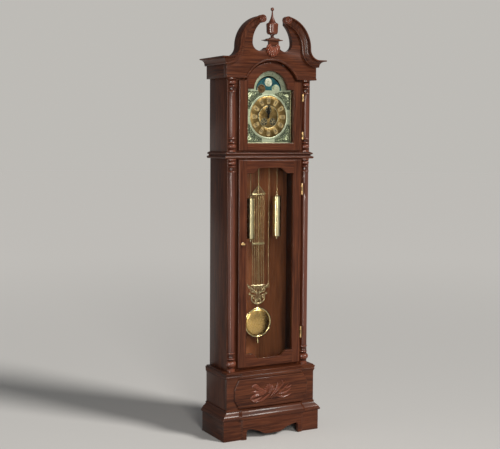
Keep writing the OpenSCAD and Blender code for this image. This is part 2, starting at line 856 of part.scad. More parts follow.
module movement_frame() {
    color("#d8b85a") {
        difference() {
            front_plate(y_plate_front, y_plate_front + plate_t) plate_outline();
            pivot_holes(y_plate_front);
        }
        difference() {
            front_plate(y_plate_back, y_plate_back + plate_t) plate_outline();
            pivot_holes(y_plate_back);
        }
        for (p = pillars)
            rod_y(p[0], plate_low + p[1], 4, y_plate_front + plate_t + glue, y_plate_back - glue);
        rod_y(minute_at[0], minute_at[1], stud_r, y_cannon - 8, y_plate_front);
        both_sides() box(-14, -9, y_plate_back + plate_t, y_pendulum + 6, anchor_at[1] - 4,
            anchor_at[1] + 8);
        box(-9, 9, y_pendulum - 3, y_pendulum + 6, anchor_at[1] + 2, anchor_at[1] + 8);
        box(hammer_x - 9, hammer_x + 9, y_plate_back + plate_t, y_plate_back + plate_t + 4,
            hammer_z - 5, hammer_z + 5);
        for (s = [-1, 1]) box(hammer_x + s * 7.5 - 1.5, hammer_x + s * 7.5 + 1.5,
            y_plate_back + plate_t + 4, hammer_y - 1, hammer_z - 5, hammer_z + 5);
        translate([hammer_x - 9, hammer_y, hammer_z]) rotate([0, 90, 0])
            cylinder(r = 1.5, h = 18);
    }
}

module centre_wheel() {
    toward_second = bearing(centre_at, second_at);
    color("#d8b85a") {
        wheel(centre_at, centre_teeth, centre_m, bearing(centre_at, third_at), y_centre);
        pinion(centre_at, centre_pinion, second_m, toward_second + 180 / centre_pinion,
            y_second - 1, 5);
        arbor(centre_at, 2.5, y_cannon + 3, y_plate_back + plate_t);
    }
}

module second_wheel() {
    color("#d8b85a") {
        wheel(second_at, second_teeth, second_m, bearing(second_at, centre_at), y_second);
        pinion(second_at, second_pinion, great_m,
            bearing(second_at, great_at) + 180 / second_pinion, y_great - 1, 5.5);
        arbor(second_at, 1.2, y_plate_front + 0.5, y_plate_back + 2);
    }
}

module time_great_wheel() {
    color("#d8b85a") difference() {
        wheel(great_at, great_teeth, great_m, bearing(great_at, second_at), y_great, 3);
        arbor(great_at, 2.6, y_great - 1, y_great + 4);
    }
}

module strike_great_wheel() {
    pins = 8;
    color("#d8b85a") {
        difference() {
            wheel(strike_at, great_teeth, great_m, 0, y_great, 3);
            arbor(strike_at, 2.6, y_great - 1, y_great + 4);
        }
        for (i = [0:pins - 1]) let (a = 360 * i / pins)
            arbor(strike_at + 31 * [cos(a), sin(a)], 1, y_great + 3, y_great + 8);
    }
}

module third_wheel() {
    color("#d8b85a") {
        wheel(third_at, third_teeth, centre_m, bearing(third_at, escape_at), y_third);
        pinion(third_at, third_pinion, centre_m,
            bearing(third_at, centre_at) + 180 / third_pinion, y_centre - 1, 4.5);
        arbor(third_at, 1.2, y_plate_front + 0.5, y_plate_back + 2);
    }
}

// The escape wheel's teeth are slim points, a quarter pitch clear of each pallet
module escape_wheel() {
    color("#d8b85a") {
        front_plate(y_escape, y_escape + 1.6) translate(escape_at) difference() {
            polygon([for (i = [0:escape_teeth - 1]) let (a = 45 + 3 + 360 * i / escape_teeth) each [
                [(escape_r - 5) * cos(a - 2.2), (escape_r - 5) * sin(a - 2.2)],
                [escape_r * cos(a - 0.4), escape_r * sin(a - 0.4)],
                [escape_r * cos(a + 0.4), escape_r * sin(a + 0.4)],
                [(escape_r - 5) * cos(a + 2.2), (escape_r - 5) * sin(a + 2.2)]
            ]]);
            for (a = [45, 135, 225, 315]) rotate(a) translate([9, 0]) circle(r = 4);
        }
        pinion(escape_at, escape_pinion, centre_m,
            bearing(escape_at, third_at) + 180 / escape_pinion, y_third - 1, 4);
        arbor(escape_at, 1.2, y_plate_front + 0.5, y_plate_back + 2);
    }
}

// Anchor with two pallets, its arbor, and the crutch that carries the pendulum
module anchor() {
    pallet = escape_r + 0.6;
    crutch_low = anchor_at[1] - 104;
    y_crutch = y_plate_back + plate_t + 4;
    color("#9aa0a6") {
        front_plate(y_escape, y_escape + 1.6) {
            both_sides() {
                translate(escape_at) rotate(45) translate([pallet, -0.7]) square([6, 1.4]);
                hull() {
                    translate(anchor_at + [0, 2]) circle(r = 2.5);
                    translate(escape_at + (pallet + 5) * [cos(45), sin(45)]) circle(r = 1.6);
                }
            }
            translate(anchor_at) circle(r = 5);
        }
        arbor(anchor_at, 1.2, y_plate_front + 0.5, y_crutch + 1.5);
        box(-1.5, 1.5, y_crutch, y_crutch + 1.5, crutch_low, anchor_at[1] + 2);
        box(-4, 4, y_crutch, y_crutch + 1.5, crutch_low, crutch_low + 6);
        both_sides() box(-3.4, -2.6, y_crutch + 1.5, y_pendulum + 2, crutch_low + 2, crutch_low + 6);
    }
}

// A chain sprocket with its arbor; the great wheel beside it turns freely
module sprocket(at) {
    for (y = [y_chain - 4, y_chain + 2.6]) front_plate(y, y + 1.4) translate(at)
        circle(r = sprocket_r + 2.5);
    rod_y(at[0], at[1], sprocket_r - chain_r - 0.8, y_chain - 2.6, y_chain + 2.6);
    arbor(at, 1.2, y_plate_front + 0.5, y_plate_back + 2);
    arbor(at, 2.5, y_chain + 4, y_great + 4);
    arbor(at, 5, y_chain + 4, y_great - 0.3);
}

module time_sprocket() {
    color("#d8b85a") sprocket(great_at);
}

module strike_sprocket() {
    color("#d8b85a") sprocket(strike_at);
}

// ---- Strike gong and hammer ----

hammer_x = -70;
hammer_y = y_plate_back + 11;
hammer_z = z_dial + 66;
gong_y = y_inside - 17;

module gong_rods() {
    top = z_dial + 152;
    color("#3a3a3c") box(-98, -42, gong_y - 9, y_inside - 0.01, top, top + 34);
    color("#b98a3a") for (i = [0:3])
        translate([-91 + 14 * i, gong_y, top - 250 - 12 * i]) cylinder(r = 2.5, h = 250 + 12 * i);
}

module strike_hammer() {
    reach = gong_y - 2.5 - 1.5 - hammer_y;
    rise = 60;
    head = 16;
    color("#b98a3a") {
        difference() {
            translate([hammer_x - 5, hammer_y, hammer_z]) rotate([0, 90, 0])
                cylinder(r = 4, h = 10);
            translate([hammer_x - 6, hammer_y, hammer_z]) rotate([0, 90, 0])
                cylinder(r = 1.56, h = 12);
        }
        translate([hammer_x, hammer_y, hammer_z]) rotate([-atan2(reach - head, rise), 0, 0])
            translate([0, 0, 3.8]) cylinder(r = 1.2, h = norm([reach - head, rise]) - 3.8);
        rod_y(hammer_x, hammer_z + rise, 6, hammer_y + reach - head - 2, hammer_y + reach);
    }
}

// ---- Weights, chains and their end rings ----

ring_r = 7;
hook_h = 22;

module weight_at(x, top) {
    cap = 6;
    shell_top = top - hook_h;
    color("#d8b85a") {
        translate([x, y_chain, shell_top - weight_len]) cylinder(r = weight_r, h = weight_len);
        translate([x, y_chain, shell_top - weight_len - cap])
            cylinder(r1 = weight_r - 5, r2 = weight_r + 1, h = cap);
        translate([x, y_chain, shell_top]) cylinder(r1 = weight_r + 1, r2 = weight_r - 6, h = cap);
        translate([x, y_chain, shell_top + cap]) cylinder(r = 2, h = hook_h - cap);
        translate([x, y_chain, shell_top - weight_len - cap - 10]) cylinder(r = 4, h = 10);
    }
}

module chain_at(x, drop) {
    color("#b98a3a") translate([x, y_chain, z_chain - drop + glue])
        cylinder(r = chain_r, h = drop - glue);
}

module ring_at(x) {
    color("#b98a3a") {
        translate([x, y_chain, z_chain - free_drop - ring_r]) rotate([90, 0, 0]) rotate_extrude()
            translate([ring_r - 1.2, 0]) circle(r = 1.2, $fn = 24);
    }
}

module time_weight() { weight_at(weight_x, z_chain - time_drop); }

module time_chain() { chain_at(weight_x, time_drop); }

module time_free_chain() { chain_at(free_x, free_drop); }

module time_chain_ring() { ring_at(free_x); }

module strike_weight() { weight_at(-weight_x, z_chain - strike_drop); }

module strike_chain() { chain_at(-weight_x, strike_drop); }

module strike_free_chain() { chain_at(-free_x, free_drop); }

module strike_chain_ring() { ring_at(-free_x); }

// ---- Pendulum ----

z_bob = z_base + bob_up;
bracket_low = z_bob + bob_r + 17;
bracket_h = 104;
rods_low = bracket_low + bracket_h - 12;
crest_drop = 434;
rods_top = anchor_at[1] - crest_drop;
rod_span = 62;
leader_hw = 2.2;
rod_r = 2.4;
rod_fit = 0.06;
nut_drop = 27;

// Leader and a harp of seven thin rods
module pendulum_rods() {
    color("#c8a24a") {
        box(-5, 5, y_pendulum - 1.2, y_pendulum + 1.2, anchor_at[1] - 14, anchor_at[1] + 1.5);
        box(-leader_hw, leader_hw, y_pendulum - 1, y_pendulum + 1, rods_top + 40,
            anchor_at[1] - 14);
        for (i = [-3:3])
            translate([i * rod_span / 6, y_pendulum, rods_low])
                cylinder(r = i == 0 ? rod_r : 1.6, h = rods_top - rods_low + (i == 0 ? 60 : 8));
        translate([0, y_pendulum, z_bob - bob_r - nut_drop - 2])
            cylinder(r = rod_r, h = bracket_low - z_bob + bob_r + nut_drop + 22);
    }
}

// Pierced triangular crest, studded cross bar and scrolled bracket
module pendulum_ornaments() {
    y0 = y_pendulum - 3.6;
    y1 = y_pendulum - 2.5;
    bar_z = rods_top - 246;
    color("#d8b85a") {
        front_plate(y0, y1) translate([0, rods_top]) difference() {
            polygon([[-38, -2], [38, -2], [38, 4], [4, 44], [-4, 44], [-38, 4]]);
            both_sides() polygon([[5, 4], [25, 4], [5, 27]]);
        }
        front_plate(y0, y1) translate([-rod_span / 2 - 5, bar_z]) square([rod_span + 10, 11]);
        front_plate(y0, y1) translate([0, bracket_low]) difference() {
            polygon(concat(bracket_edge(), flip_x(bracket_edge())));
            both_sides() {
                translate([26, 34]) circle(r = 11);
                translate([30, 72]) circle(r = 13);
                translate([10, 58]) circle(r = 6);
            }
        }
    }
}

// Right edge of the scrolled bracket, waisted between two spreads
function bracket_edge(n = 16) = [for (i = [0:n]) let (t = i / n)
    [20 + 42 * pow(sin(180 * t), 2) * (1 - 0.25 * cos(540 * t)) + 26 * pow(t, 3), bracket_h * t]];

module pendulum_bob() {
    rim = 6;
    color("#d8b85a") difference() {
        translate([0, y_pendulum, z_bob]) rotate([90, 0, 0]) rotate_extrude($fn = 96) polygon(concat(
            [[0, -bob_t / 2], [bob_r * 0.55, -bob_t / 2 + 2]],
            [[bob_r - rim, -rim], [bob_r, -3], [bob_r, 3], [bob_r - rim, rim]],
            [[bob_r * 0.55, bob_t / 2 - 2], [0, bob_t / 2]]
        ));
        translate([0, y_pendulum, z_bob - bob_r - 1])
            cylinder(r = rod_r + rod_fit, h = 2 * bob_r + 2);
    }
}

module rating_nut() {
    low = z_bob - bob_r - nut_drop;
    color("#d8b85a") difference() {
        union() {
            translate([0, y_pendulum, low]) cylinder(r = 7, h = 17);
            translate([0, y_pendulum, low]) cylinder(r = 4, h = nut_drop - 0.4);
        }
        translate([0, y_pendulum, low - 1]) cylinder(r = rod_r + rod_fit, h = nut_drop + 2);
    }
}

// ---- Doors ----

door_low = z_base + door_lift;
door_high = waist_low - 4;
hood_door_low = waist_high + 6;
hood_shoulder = z_frieze - 9;
trunk_hinges = [door_low + 150, door_high - 143];
hood_hinges = [hood_door_low + 72, hood_shoulder - 76];
trunk_hinge_h = 54;
hood_hinge_h = 34;
leaf_t = 1.5;

// Shaped inner edge of a trunk door rail, from the middle out to the stile
function rail_edge() = concat(
    [[0, rail_h], [glass_hw * 0.45, rail_h]],
    [for (i = [1:arc_steps]) let (t = i / arc_steps)
        [glass_hw * (0.45 + 0.3 * t), rail_h + rail_rise * ease(t)]],
    [[glass_hw - glue, rail_h + rail_rise], [glass_hw - glue, 0]]
);

module rail() {
    polygon(concat(flip_x(rail_edge()), rail_edge()));
}

// Notches in the hinge edge of a door, one for each hinge leaf
module leaf_notches(levels, h) {
    for (z = levels) box(door_hw - leaf_t, door_hw + 1, y_door_front - 1, y_door + 1, z - h / 2,
        z + h / 2);
}

module trunk_door_frame() {
    color("#5e2315") difference() {
        union() {
            both_sides() box(-door_hw, -glass_hw, y_door_front, y_door, door_low, door_high);
            front_plate(y_door_front, y_door) {
                translate([0, door_low]) rail();
                translate([0, door_high]) mirror([0, 1]) rail();
            }
        }
        glass_pocket() trunk_glass_outline(0.3);
        leaf_notches(trunk_hinges, trunk_hinge_h);
    }
}

glass_t = 3;
glass_lap = 8;
y_glass = y_door - 8;

module glass_pocket() {
    front_plate(y_glass - 0.3, y_door + 0.1) children();
}

module trunk_glass_outline(grow) {
    hw = glass_hw + glass_lap + grow;
    low = door_low + rail_h - glass_lap - grow;
    translate([-hw, low]) square([2 * hw, door_low + door_high - 2 * low]);
}

module trunk_door_glass() {
    color("#dfe8e6", 0.3) front_plate(y_glass, y_glass + glass_t) trunk_glass_outline(0);
}

module trunk_door_knob() {
    color("#d8b85a") translate([-(glass_hw + stile_w / 2), y_door_front, z_base + 610])
        rotate([90, 0, 0]) rotate_extrude() polygon(concat(
            [[0, 0], [8, 0], [8, 1.5], [3.5, 3], [3, 7]],
            arc(0, 13, 7, -60, 90, 6)
        ));
}

module hood_glass_outline(grow) {
    hw = glass_hw - 3 + glass_lap + grow;
    low = hood_door_low + 36 - glass_lap - grow;
    translate([-hw, low]) square([2 * hw, z_glass_arch + 6 + glass_lap + grow - low]);
    translate([0, z_glass_arch]) circle(r = glass_arch_r + glass_lap + grow);
}

module hood_door_frame() {
    inner = glass_hw - 3;
    rail_hw = inner - glue;
    rail_top = z_glass_arch + 6;
    color("#5e2315") difference() {
        union() {
            both_sides() box(-door_hw, -inner, y_door_front, y_door, hood_door_low, hood_shoulder);
            box(-rail_hw, rail_hw, y_door_front, y_door, hood_door_low, hood_door_low + 36);
            front_plate(y_door_front, y_door) difference() {
                union() {
                    translate([-rail_hw, rail_top]) square([2 * rail_hw, hood_shoulder - rail_top + 1]);
                    intersection() {
                        translate([0, z_arch]) circle(r = door_arch_r);
                        translate([-door_arch_r, hood_shoulder + glue])
                            square([2 * door_arch_r, door_arch_r]);
                    }
                }
                translate([0, z_glass_arch]) circle(r = glass_arch_r);
            }
        }
        glass_pocket() hood_glass_outline(0.3);
        leaf_notches(hood_hinges, hood_hinge_h);
    }
}

module hood_door_glass() {
    color("#dfe8e6", 0.3) front_plate(y_glass, y_glass + glass_t) hood_glass_outline(0);
}

// Door half of a butt hinge: a leaf let into the door's edge, and the middle knuckle
module moving_leaf(z, h) {
    third = h / 3;
    difference() {
        union() {
            box(door_hw - leaf_t, door_hw, y_door_front, y_door, z - h / 2, z + h / 2);
            box(door_hw - leaf_t, x_hinge, y_hinge - knuckle_r + 0.4, y_hinge - knuckle_r + 1.9,
                z - third / 2 + 0.3, z + third / 2 - 0.3);
            box(door_hw - leaf_t, door_hw, y_hinge - knuckle_r + 0.4, y_door_front,
                z - third / 2 + 0.3, z + third / 2 - 0.3);
            translate([x_hinge, y_hinge, z - third / 2 + 0.3])
                cylinder(r = knuckle_r, h = third - 0.6);
        }
        translate([x_hinge, y_hinge, z - h]) cylinder(r = pin_r + 0.06, h = 2 * h);
    }
}

// Case half: a foot on the face frame, a web, the two outer knuckles and the pin
module fixed_leaf(z, h) {
    third = h / 3;
    translate([x_hinge, y_hinge, z - h / 2 - 2]) cylinder(r = pin_r, h = h + 4);
    for (low = [z - h / 2, z + third / 2]) {
        translate([x_hinge, y_hinge, low]) cylinder(r = knuckle_r, h = third);
        box(x_hinge, x_hinge + leaf_t, y_hinge, y_face, low, low + third);
    }
    box(door_hw + 1, x_hinge + 5, y_face - 0.8, y_face - 0.01, z - h / 2, z + h / 2);
}

module case_hinges() {
    color("#c8a24a") {
        for (z = trunk_hinges) fixed_leaf(z, trunk_hinge_h);
        for (z = hood_hinges) fixed_leaf(z, hood_hinge_h);
    }
}

module trunk_door_hinges() {
    color("#c8a24a") for (z = trunk_hinges) moving_leaf(z, trunk_hinge_h);
}

module hood_door_hinges() {
    color("#c8a24a") for (z = hood_hinges) moving_leaf(z, hood_hinge_h);
}

plinth_boards();
plinth_moulding();
base_boards();
base_raised_panel();
base_carving();
base_top_moulding();
back_panel();
trunk_sides();
trunk_front_frame();
trunk_columns();
waist_moulding();
hood_carcass();
hood_front_frame();
hood_columns();
tympanum();
swan_necks();
cornice_sides();
finial_pedestal();
finial();
shell_carving();
seat_board();
dial_plate();
chapter_ring();
dial_spandrels();
movement_frame();
gong_rods();
case_hinges();
trunk_door_frame();
trunk_door_glass();
trunk_door_knob();
trunk_door_hinges();
hood_door_frame();
hood_door_glass();
hood_door_hinges();
pendulum_rods();
pendulum_ornaments();
pendulum_bob();
rating_nut();
minute_hand();
hour_hand();
minute_wheel();
moon_disc();
centre_wheel();
second_wheel();
time_great_wheel();
third_wheel();
escape_wheel();
anchor();
time_sprocket();
time_weight();
time_chain();
time_free_chain();
time_chain_ring();
strike_sprocket();
strike_great_wheel();
strike_hammer();
strike_weight();
strike_chain();
strike_free_chain();
strike_chain_ring();
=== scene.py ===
# A longcase clock in lacquered cherry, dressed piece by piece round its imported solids.
import math
from math import cos, pi, radians, sin

import bmesh
import bpy
from mathutils import Matrix, Vector
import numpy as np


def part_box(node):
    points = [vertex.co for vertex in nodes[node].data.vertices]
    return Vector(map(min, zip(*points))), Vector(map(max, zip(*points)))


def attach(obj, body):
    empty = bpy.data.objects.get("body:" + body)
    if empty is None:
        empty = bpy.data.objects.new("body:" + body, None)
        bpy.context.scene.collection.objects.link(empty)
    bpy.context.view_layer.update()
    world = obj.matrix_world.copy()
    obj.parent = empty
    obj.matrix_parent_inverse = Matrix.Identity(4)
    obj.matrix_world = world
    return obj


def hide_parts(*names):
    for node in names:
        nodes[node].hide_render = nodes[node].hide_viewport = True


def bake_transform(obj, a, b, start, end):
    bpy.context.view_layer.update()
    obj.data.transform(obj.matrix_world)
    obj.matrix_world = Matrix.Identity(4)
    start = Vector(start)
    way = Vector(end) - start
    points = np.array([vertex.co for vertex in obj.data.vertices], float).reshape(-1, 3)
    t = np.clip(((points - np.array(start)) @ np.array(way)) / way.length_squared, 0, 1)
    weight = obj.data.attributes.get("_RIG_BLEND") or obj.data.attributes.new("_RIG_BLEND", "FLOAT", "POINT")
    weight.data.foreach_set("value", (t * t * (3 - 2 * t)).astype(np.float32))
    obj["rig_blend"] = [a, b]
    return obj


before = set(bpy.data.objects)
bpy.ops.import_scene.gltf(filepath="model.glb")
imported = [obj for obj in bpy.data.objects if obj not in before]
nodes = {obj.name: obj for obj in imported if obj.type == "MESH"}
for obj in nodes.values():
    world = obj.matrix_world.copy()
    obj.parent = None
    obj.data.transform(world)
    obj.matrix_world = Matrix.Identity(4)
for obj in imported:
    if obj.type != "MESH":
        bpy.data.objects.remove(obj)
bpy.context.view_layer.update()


# ---- Room ----
# A pale seamless floor under a soft sun from high on the right, a soft box in front on the
# left, and a narrow strip further left that only draws bright lines down rounded edges.
scene = bpy.context.scene
scene.view_settings.view_transform = "Standard"
room_grey = (0.512, 0.497, 0.468, 1.0)

yaw, tip, roll = radians(28.26), radians(4.885), radians(0.344)
ahead = Vector((sin(yaw) * cos(tip), cos(yaw) * cos(tip), -sin(tip)))
right = Vector((cos(yaw), -sin(yaw), 0))
up = right.cross(ahead)
camera = bpy.data.objects.new("camera", bpy.data.cameras.new("camera"))
camera.data.lens = 73.24
camera.data.sensor_width = 36.0
camera.data.clip_end = 100.0
frame_axes = (right * cos(roll) + up * sin(roll), up * cos(roll) - right * sin(roll), -ahead)
camera_place = (-2.3858, -4.3111, 1.4398)
camera.matrix_world = Matrix.Translation(camera_place) @ Matrix(frame_axes).transposed().to_4x4()
scene.collection.objects.link(camera)
scene.camera = camera


def lamp(name, place, aim, width, height, watts, colour, glint_only=False):
    """A flat lamp turned to its aim. A glint-only one shows in gloss and lights nothing else."""
    light = bpy.data.lights.new(name, "AREA")
    light.shape = "RECTANGLE"
    light.size = width
    light.size_y = height
    light.energy = watts
    light.color = colour
    holder = bpy.data.objects.new(name, light)
    holder.location = place
    holder.rotation_euler = (Vector(aim) - Vector(place)).to_track_quat("-Z", "Y").to_euler()
    holder.visible_diffuse = not glint_only
    scene.collection.objects.link(holder)


lamp("left_strip", (-2.7, -1.5, 1.35), (0, -0.1, 1.2), 0.12, 2.7, 130.0, (1.0, 0.90, 0.84), glint_only=True)
lamp("soft_box", (-1.25, -4.2, 1.9), (0, 0, 0.9), 1.0, 1.8, 92.0, (1.0, 0.95, 0.88))
sun = bpy.data.lights.new("key_sun", "SUN")
sun.energy = 2.9
sun.angle = radians(14)
sun.color = (1.0, 0.965, 0.91)
sun_holder = bpy.data.objects.new("key_sun", sun)
sun_holder.rotation_euler = Vector((0.42, -0.66, 0.62)).to_track_quat("Z", "Y").to_euler()
scene.collection.objects.link(sun_holder)


class Tone:
    """One output of a material's node. Sums on it add Math nodes."""

    def __init__(self, tree, socket):
        self.tree = tree
        self.socket = socket

    def add(self, kind, values, outlet=0, **settings):
        """Adds any other node: its settings first, then the values or links of its sockets."""
        node = self.tree.nodes.new("ShaderNode" + kind)
        for name, value in settings.items():
            setattr(node, name, value)
        for slot, value in values.items():
            if isinstance(value, Tone):
                self.tree.links.new(value.socket, node.inputs[slot])
            else:
                node.inputs[slot].default_value = value
        return Tone(self.tree, node.outputs[outlet])

    def math(self, operation, first, second=0.0):
        return self.add("Math", {0: first, 1: second}, operation=operation)

    def __add__(self, other):
        return self.math("ADD", self, other)

    def __sub__(self, other):
        return self.math("SUBTRACT", self, other)

    def __rsub__(self, other):
        return self.math("SUBTRACT", other, self)

    def __mul__(self, other):
        return self.math("MULTIPLY", self, other)

    __radd__ = __add__
    __rmul__ = __mul__

    def above(self, level, softness):
        """0 below the level and 1 above it, with a soft step between."""
        edges = {"Value": self, "From Min": level - softness, "From Max": level + softness}
        return self.add("MapRange", edges, interpolation_type="SMOOTHSTEP")

    def blend(self, low, high):
        """A colour between two others, by this share."""
        return self.add("Mix", {0: self, 6: low, 7: high}, outlet=2, data_type="RGBA")

    def speckle(self, scale, detail=3.0, roughness=0.55, warp=0.0):
        """Noise on this vector, from about 0.25 to 0.75."""
        values = {
            "Vector": self, "Scale": scale, "Detail": detail, "Roughness": roughness, "Distortion": warp
        }
        return self.add("TexNoise", values)

    def stretched(self, scale, location=(0, 0, 0)):
        return self.add("Mapping", {"Vector": self, "Location": location, "Scale": scale})


def new_finish(name):
    """A material, its shader's sockets and the object coordinates in metres."""
    finish = bpy.data.materials.new(name)
    finish.use_nodes = True
    tree = finish.node_tree
    place = Tone(tree, tree.nodes.new("ShaderNodeTexCoord").outputs["Object"])
    return finish, tree.nodes["Principled BSDF"].inputs, place


def feed(shader, **tones):
    """Sets or links sockets of the shader, named with _ for each space."""
    for name, value in tones.items():
        socket = shader[name.replace("_", " ")]
        if isinstance(value, Tone):
            value.tree.links.new(value.socket, socket)
        else:
            socket.default_value = value


# The walls of the room look pale, but throw less light on the clock than the lamps do.
world = bpy.data.worlds.new("room")
world.use_nodes = True
tree = world.node_tree
seen = Tone(tree, tree.nodes["Background"].outputs[0])
tree.nodes["Background"].inputs["Color"].default_value = room_grey
shade = seen.add("Background", {"Color": (0.98, 1.0, 1.0, 1.0), "Strength": 0.17})
ray = seen.add("LightPath", {}, outlet="Is Camera Ray")
both = seen.add("MixShader", {0: ray, 1: shade, 2: seen})
tree.links.new(both.socket, tree.nodes["World Output"].inputs["Surface"])
scene.world = world

floor_bm = bmesh.new()
bmesh.ops.create_circle(floor_bm, cap_ends=True, radius=40.0, segments=64)
floor_mesh = bpy.data.meshes.new("floor")
floor_bm.to_mesh(floor_mesh)
floor_bm.free()
floor_paint, shader, place = new_finish("floor_paint")
# The floor is painted paler with distance from the clock: painted light that makes up for the lamp light
# fading out there, so the floor reads evenly lit.
reach = place.add("VectorMath", {0: place}, outlet="Value", operation="LENGTH")
paler_from, pale_at = 1.2, 8.0
span = {"Value": reach, "From Min": paler_from, "From Max": pale_at}
far = reach.add("MapRange", span, interpolation_type="SMOOTHSTEP")
floor_near, floor_far = [0.595, 0.590, 0.584, 1.0], [0.695, 0.687, 0.678, 1.0]
feed(shader, Base_Color=far.blend(floor_near, floor_far), Roughness=0.95, Specular_IOR_Level=0.0)
floor_mesh.materials.append(floor_paint)
floor = bpy.data.objects.new("floor", floor_mesh)
scene.collection.objects.link(floor)


# ---- Plinth ----
# Front and side boards of 13 mm cherry on the floor, the front one sawn to bracket feet and
# stepped forward in the middle, under a mitred ogee moulding. All of it is lacquered satin.
def bumped(height, strength, distance):
    return height.add("Bump", {"Height": height, "Strength": strength, "Distance": distance})


def cherry(name, along):
    """Lacquered cherry: cloudy figure, fine streaks and short pores along one axis."""
    finish, shader, place = new_finish(name)
    axis = "XYZ".index(along)

    def sawn(across, lengthways):
        scale = [across] * 3
        scale[axis] = lengthways
        return place.stretched(scale)

    figure = sawn(16.0, 1.6).speckle(1.0, 4.0, 0.6, 1.2)
    streak = sawn(150.0, 7.0).speckle(1.0, 3.0, 0.6)
    pore = sawn(900.0, 42.0).speckle(1.0, 2.0, 0.5).above(0.66, 0.05)
    cloud = place.speckle(5.0, 2.0, 0.5)
    dark, middle = [0.020, 0.0046, 0.0020, 1.0], [0.060, 0.0145, 0.0055, 1.0]
    pale, pore_black = [0.140, 0.042, 0.016, 1.0], [0.018, 0.006, 0.003, 1.0]
    body = figure.above(0.5, 0.24).blend(dark, middle)
    body = (streak.above(0.53, 0.2) * 0.66).blend(body, pale)
    body = (cloud.above(0.55, 0.2) * 0.3).blend(body, middle)
    body = (pore * 0.6).blend(body, pore_black)
    grain = streak * 0.5 + figure * 0.3 - pore * 0.6
    wear = place.speckle(38.0, 4.0, 0.7)
    feed(
        shader,
        Base_Color=body,
        Roughness=0.26 + streak * 0.16 + wear * 0.12,
        Specular_IOR_Level=0.13,
        Coat_Weight=(0.1 + wear * 0.5) * 0.5,
        Coat_Roughness=0.16,
        Normal=bumped(grain, 0.35, 0.0004),
    )
    return finish


case_cherry = [cherry("cherry_grain_" + axis, axis) for axis in "XYZ"]


def finished(name, bm, body, finishes, smooth=32.0, flat_above=10.0):
    """Makes the piece: its mesh in place, shaded smooth below an angle, riding on a body.
    Faces of more square metres than flat_above are planed flat."""
    mesh = bpy.data.meshes.new(name)
    bm.to_mesh(mesh)
    bm.free()
    for finish in finishes:
        mesh.materials.append(finish)
    mesh.polygons.foreach_set("use_smooth", [face.area < flat_above for face in mesh.polygons])
    mesh.set_sharp_from_angle(angle=radians(smooth))
    piece = bpy.data.objects.new(name, mesh)
    scene.collection.objects.link(piece)
    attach(piece, body)
    return piece


def sawn_boards(node):
    """A merged copy of a node's flat boards, with whole faces ready for their edges."""
    bm = bmesh.new()
    bm.from_mesh(nodes[node].data)
    bmesh.ops.remove_doubles(bm, verts=bm.verts, dist=0.000004)
    bmesh.ops.dissolve_limit(bm, angle_limit=radians(0.6), verts=bm.verts, edges=bm.edges)
    return bm


def ease_edges(bm, width, segments=2, wanted=None):
    """Rounds the sharp edges, or those of them that are wanted."""
    sharp = [e for e in bm.edges if e.is_manifold and e.calc_face_angle(0.0) > radians(28)]
    if wanted:
        sharp = [e for e in sharp if wanted(e)]
    bmesh.ops.bevel(
        bm, geom=sharp, offset=width, offset_type="OFFSET", segments=segments, profile=0.5,
        affect="EDGES", clamp_overlap=True, material=-1,
    )


def grain_by_board(bm):
    """Gives each loose board the finish whose grain follows its longest side."""
    waiting = set(bm.faces)
    while waiting:
        board = [waiting.pop()]
        for face in board:
            near = {other for edge in face.edges for other in edge.link_faces} & waiting
            waiting -= near
            board.extend(near)
        corners = [v.co for face in board for v in face.verts]
        spans = [max(c[i] for c in corners) - min(c[i] for c in corners) for i in range(3)]
        for face in board:
            face.material_index = spans.index(max(spans))


board_flat = 0.0004


def board_piece(node, width, segments=2):
    """A case piece of flat boards: its packed boards with their edges eased by a width."""
    bm = sawn_boards(node)
    grain_by_board(bm)
    ease_edges(bm, width, segments)
    piece = finished(node + "_boards", bm, "case", case_cherry, flat_above=board_flat)
    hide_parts(node)


plinth_round, base_round, frame_round = 0.0018, 0.0014, 0.0008
board_piece("plinth_boards", plinth_round, segments=3)


def ease(t):
    """From 0 to 1, slow at both ends: the line of an ogee."""
    return t * t * (3 - 2 * t)


def only_verts(made):
    """The vertices among what an operator made."""
    return [g for g in made if isinstance(g, bmesh.types.BMVert)]


def sweep(bm, section, stations):
    """Carries a closed section of two-figure points from one station matrix to the next."""
    verts = [bm.verts.new((u, v, 0)) for u, v in section]
    edges = [bm.edges.new(pair) for pair in zip(verts, verts[1:] + verts[:1])]
    first = list(edges)
    bmesh.ops.transform(bm, matrix=stations[0], verts=verts)
    faces = []
    for before, after in zip(stations, stations[1:]):
        grown = bmesh.ops.extrude_edge_only(bm, edges=edges)["geom"]
        verts = only_verts(grown)
        faces += [g for g in grown if isinstance(g, bmesh.types.BMFace)]
        new = set(verts)
        edges = [e for e in grown if isinstance(e, bmesh.types.BMEdge) and set(e.verts) <= new]
        bmesh.ops.transform(bm, matrix=after @ before.inverted(), verts=verts)
    for loop in (first, edges):
        faces += bmesh.ops.edgeloop_fill(bm, edges=loop)["faces"]
    bmesh.ops.recalc_face_normals(bm, faces=faces)


def station(origin, u_way, v_way):
    """Where a section stands: its origin and the directions of its two figures."""
    third = Vector(u_way).cross(Vector(v_way))
    return Matrix.Translation(origin) @ Matrix((u_way, v_way, third)).transposed().to_4x4()


upward = (0, 0, 1)
break_half, break_ramp, break_step = 0.160, 0.014, 0.008


def breakfront(half, back, front, slope):
    """Stations round the base: left side, front with its middle stepped forward, right side."""
    shares = (0, 0.15, 0.3, 0.45, 0.6, 0.75, 0.9, 1)
    rise = [(break_half + break_ramp * t, front - break_step * (1 - ease(t))) for t in shares]
    ways = [station((half, back, 0), (1, 0, 0), upward), station((half, front, 0), (1, -slope, 0), upward)]
    ways += [station((x, y, 0), (0.4, -slope, 0), upward) for x, y in reversed(rise)]
    ways += [station((-x, y, 0), (-0.4, -slope, 0), upward) for x, y in rise]
    ways += [
        station((-half, front, 0), (-1, -slope, 0), upward), station((-half, back, 0), (-1, 0, 0), upward)
    ]
    return ways


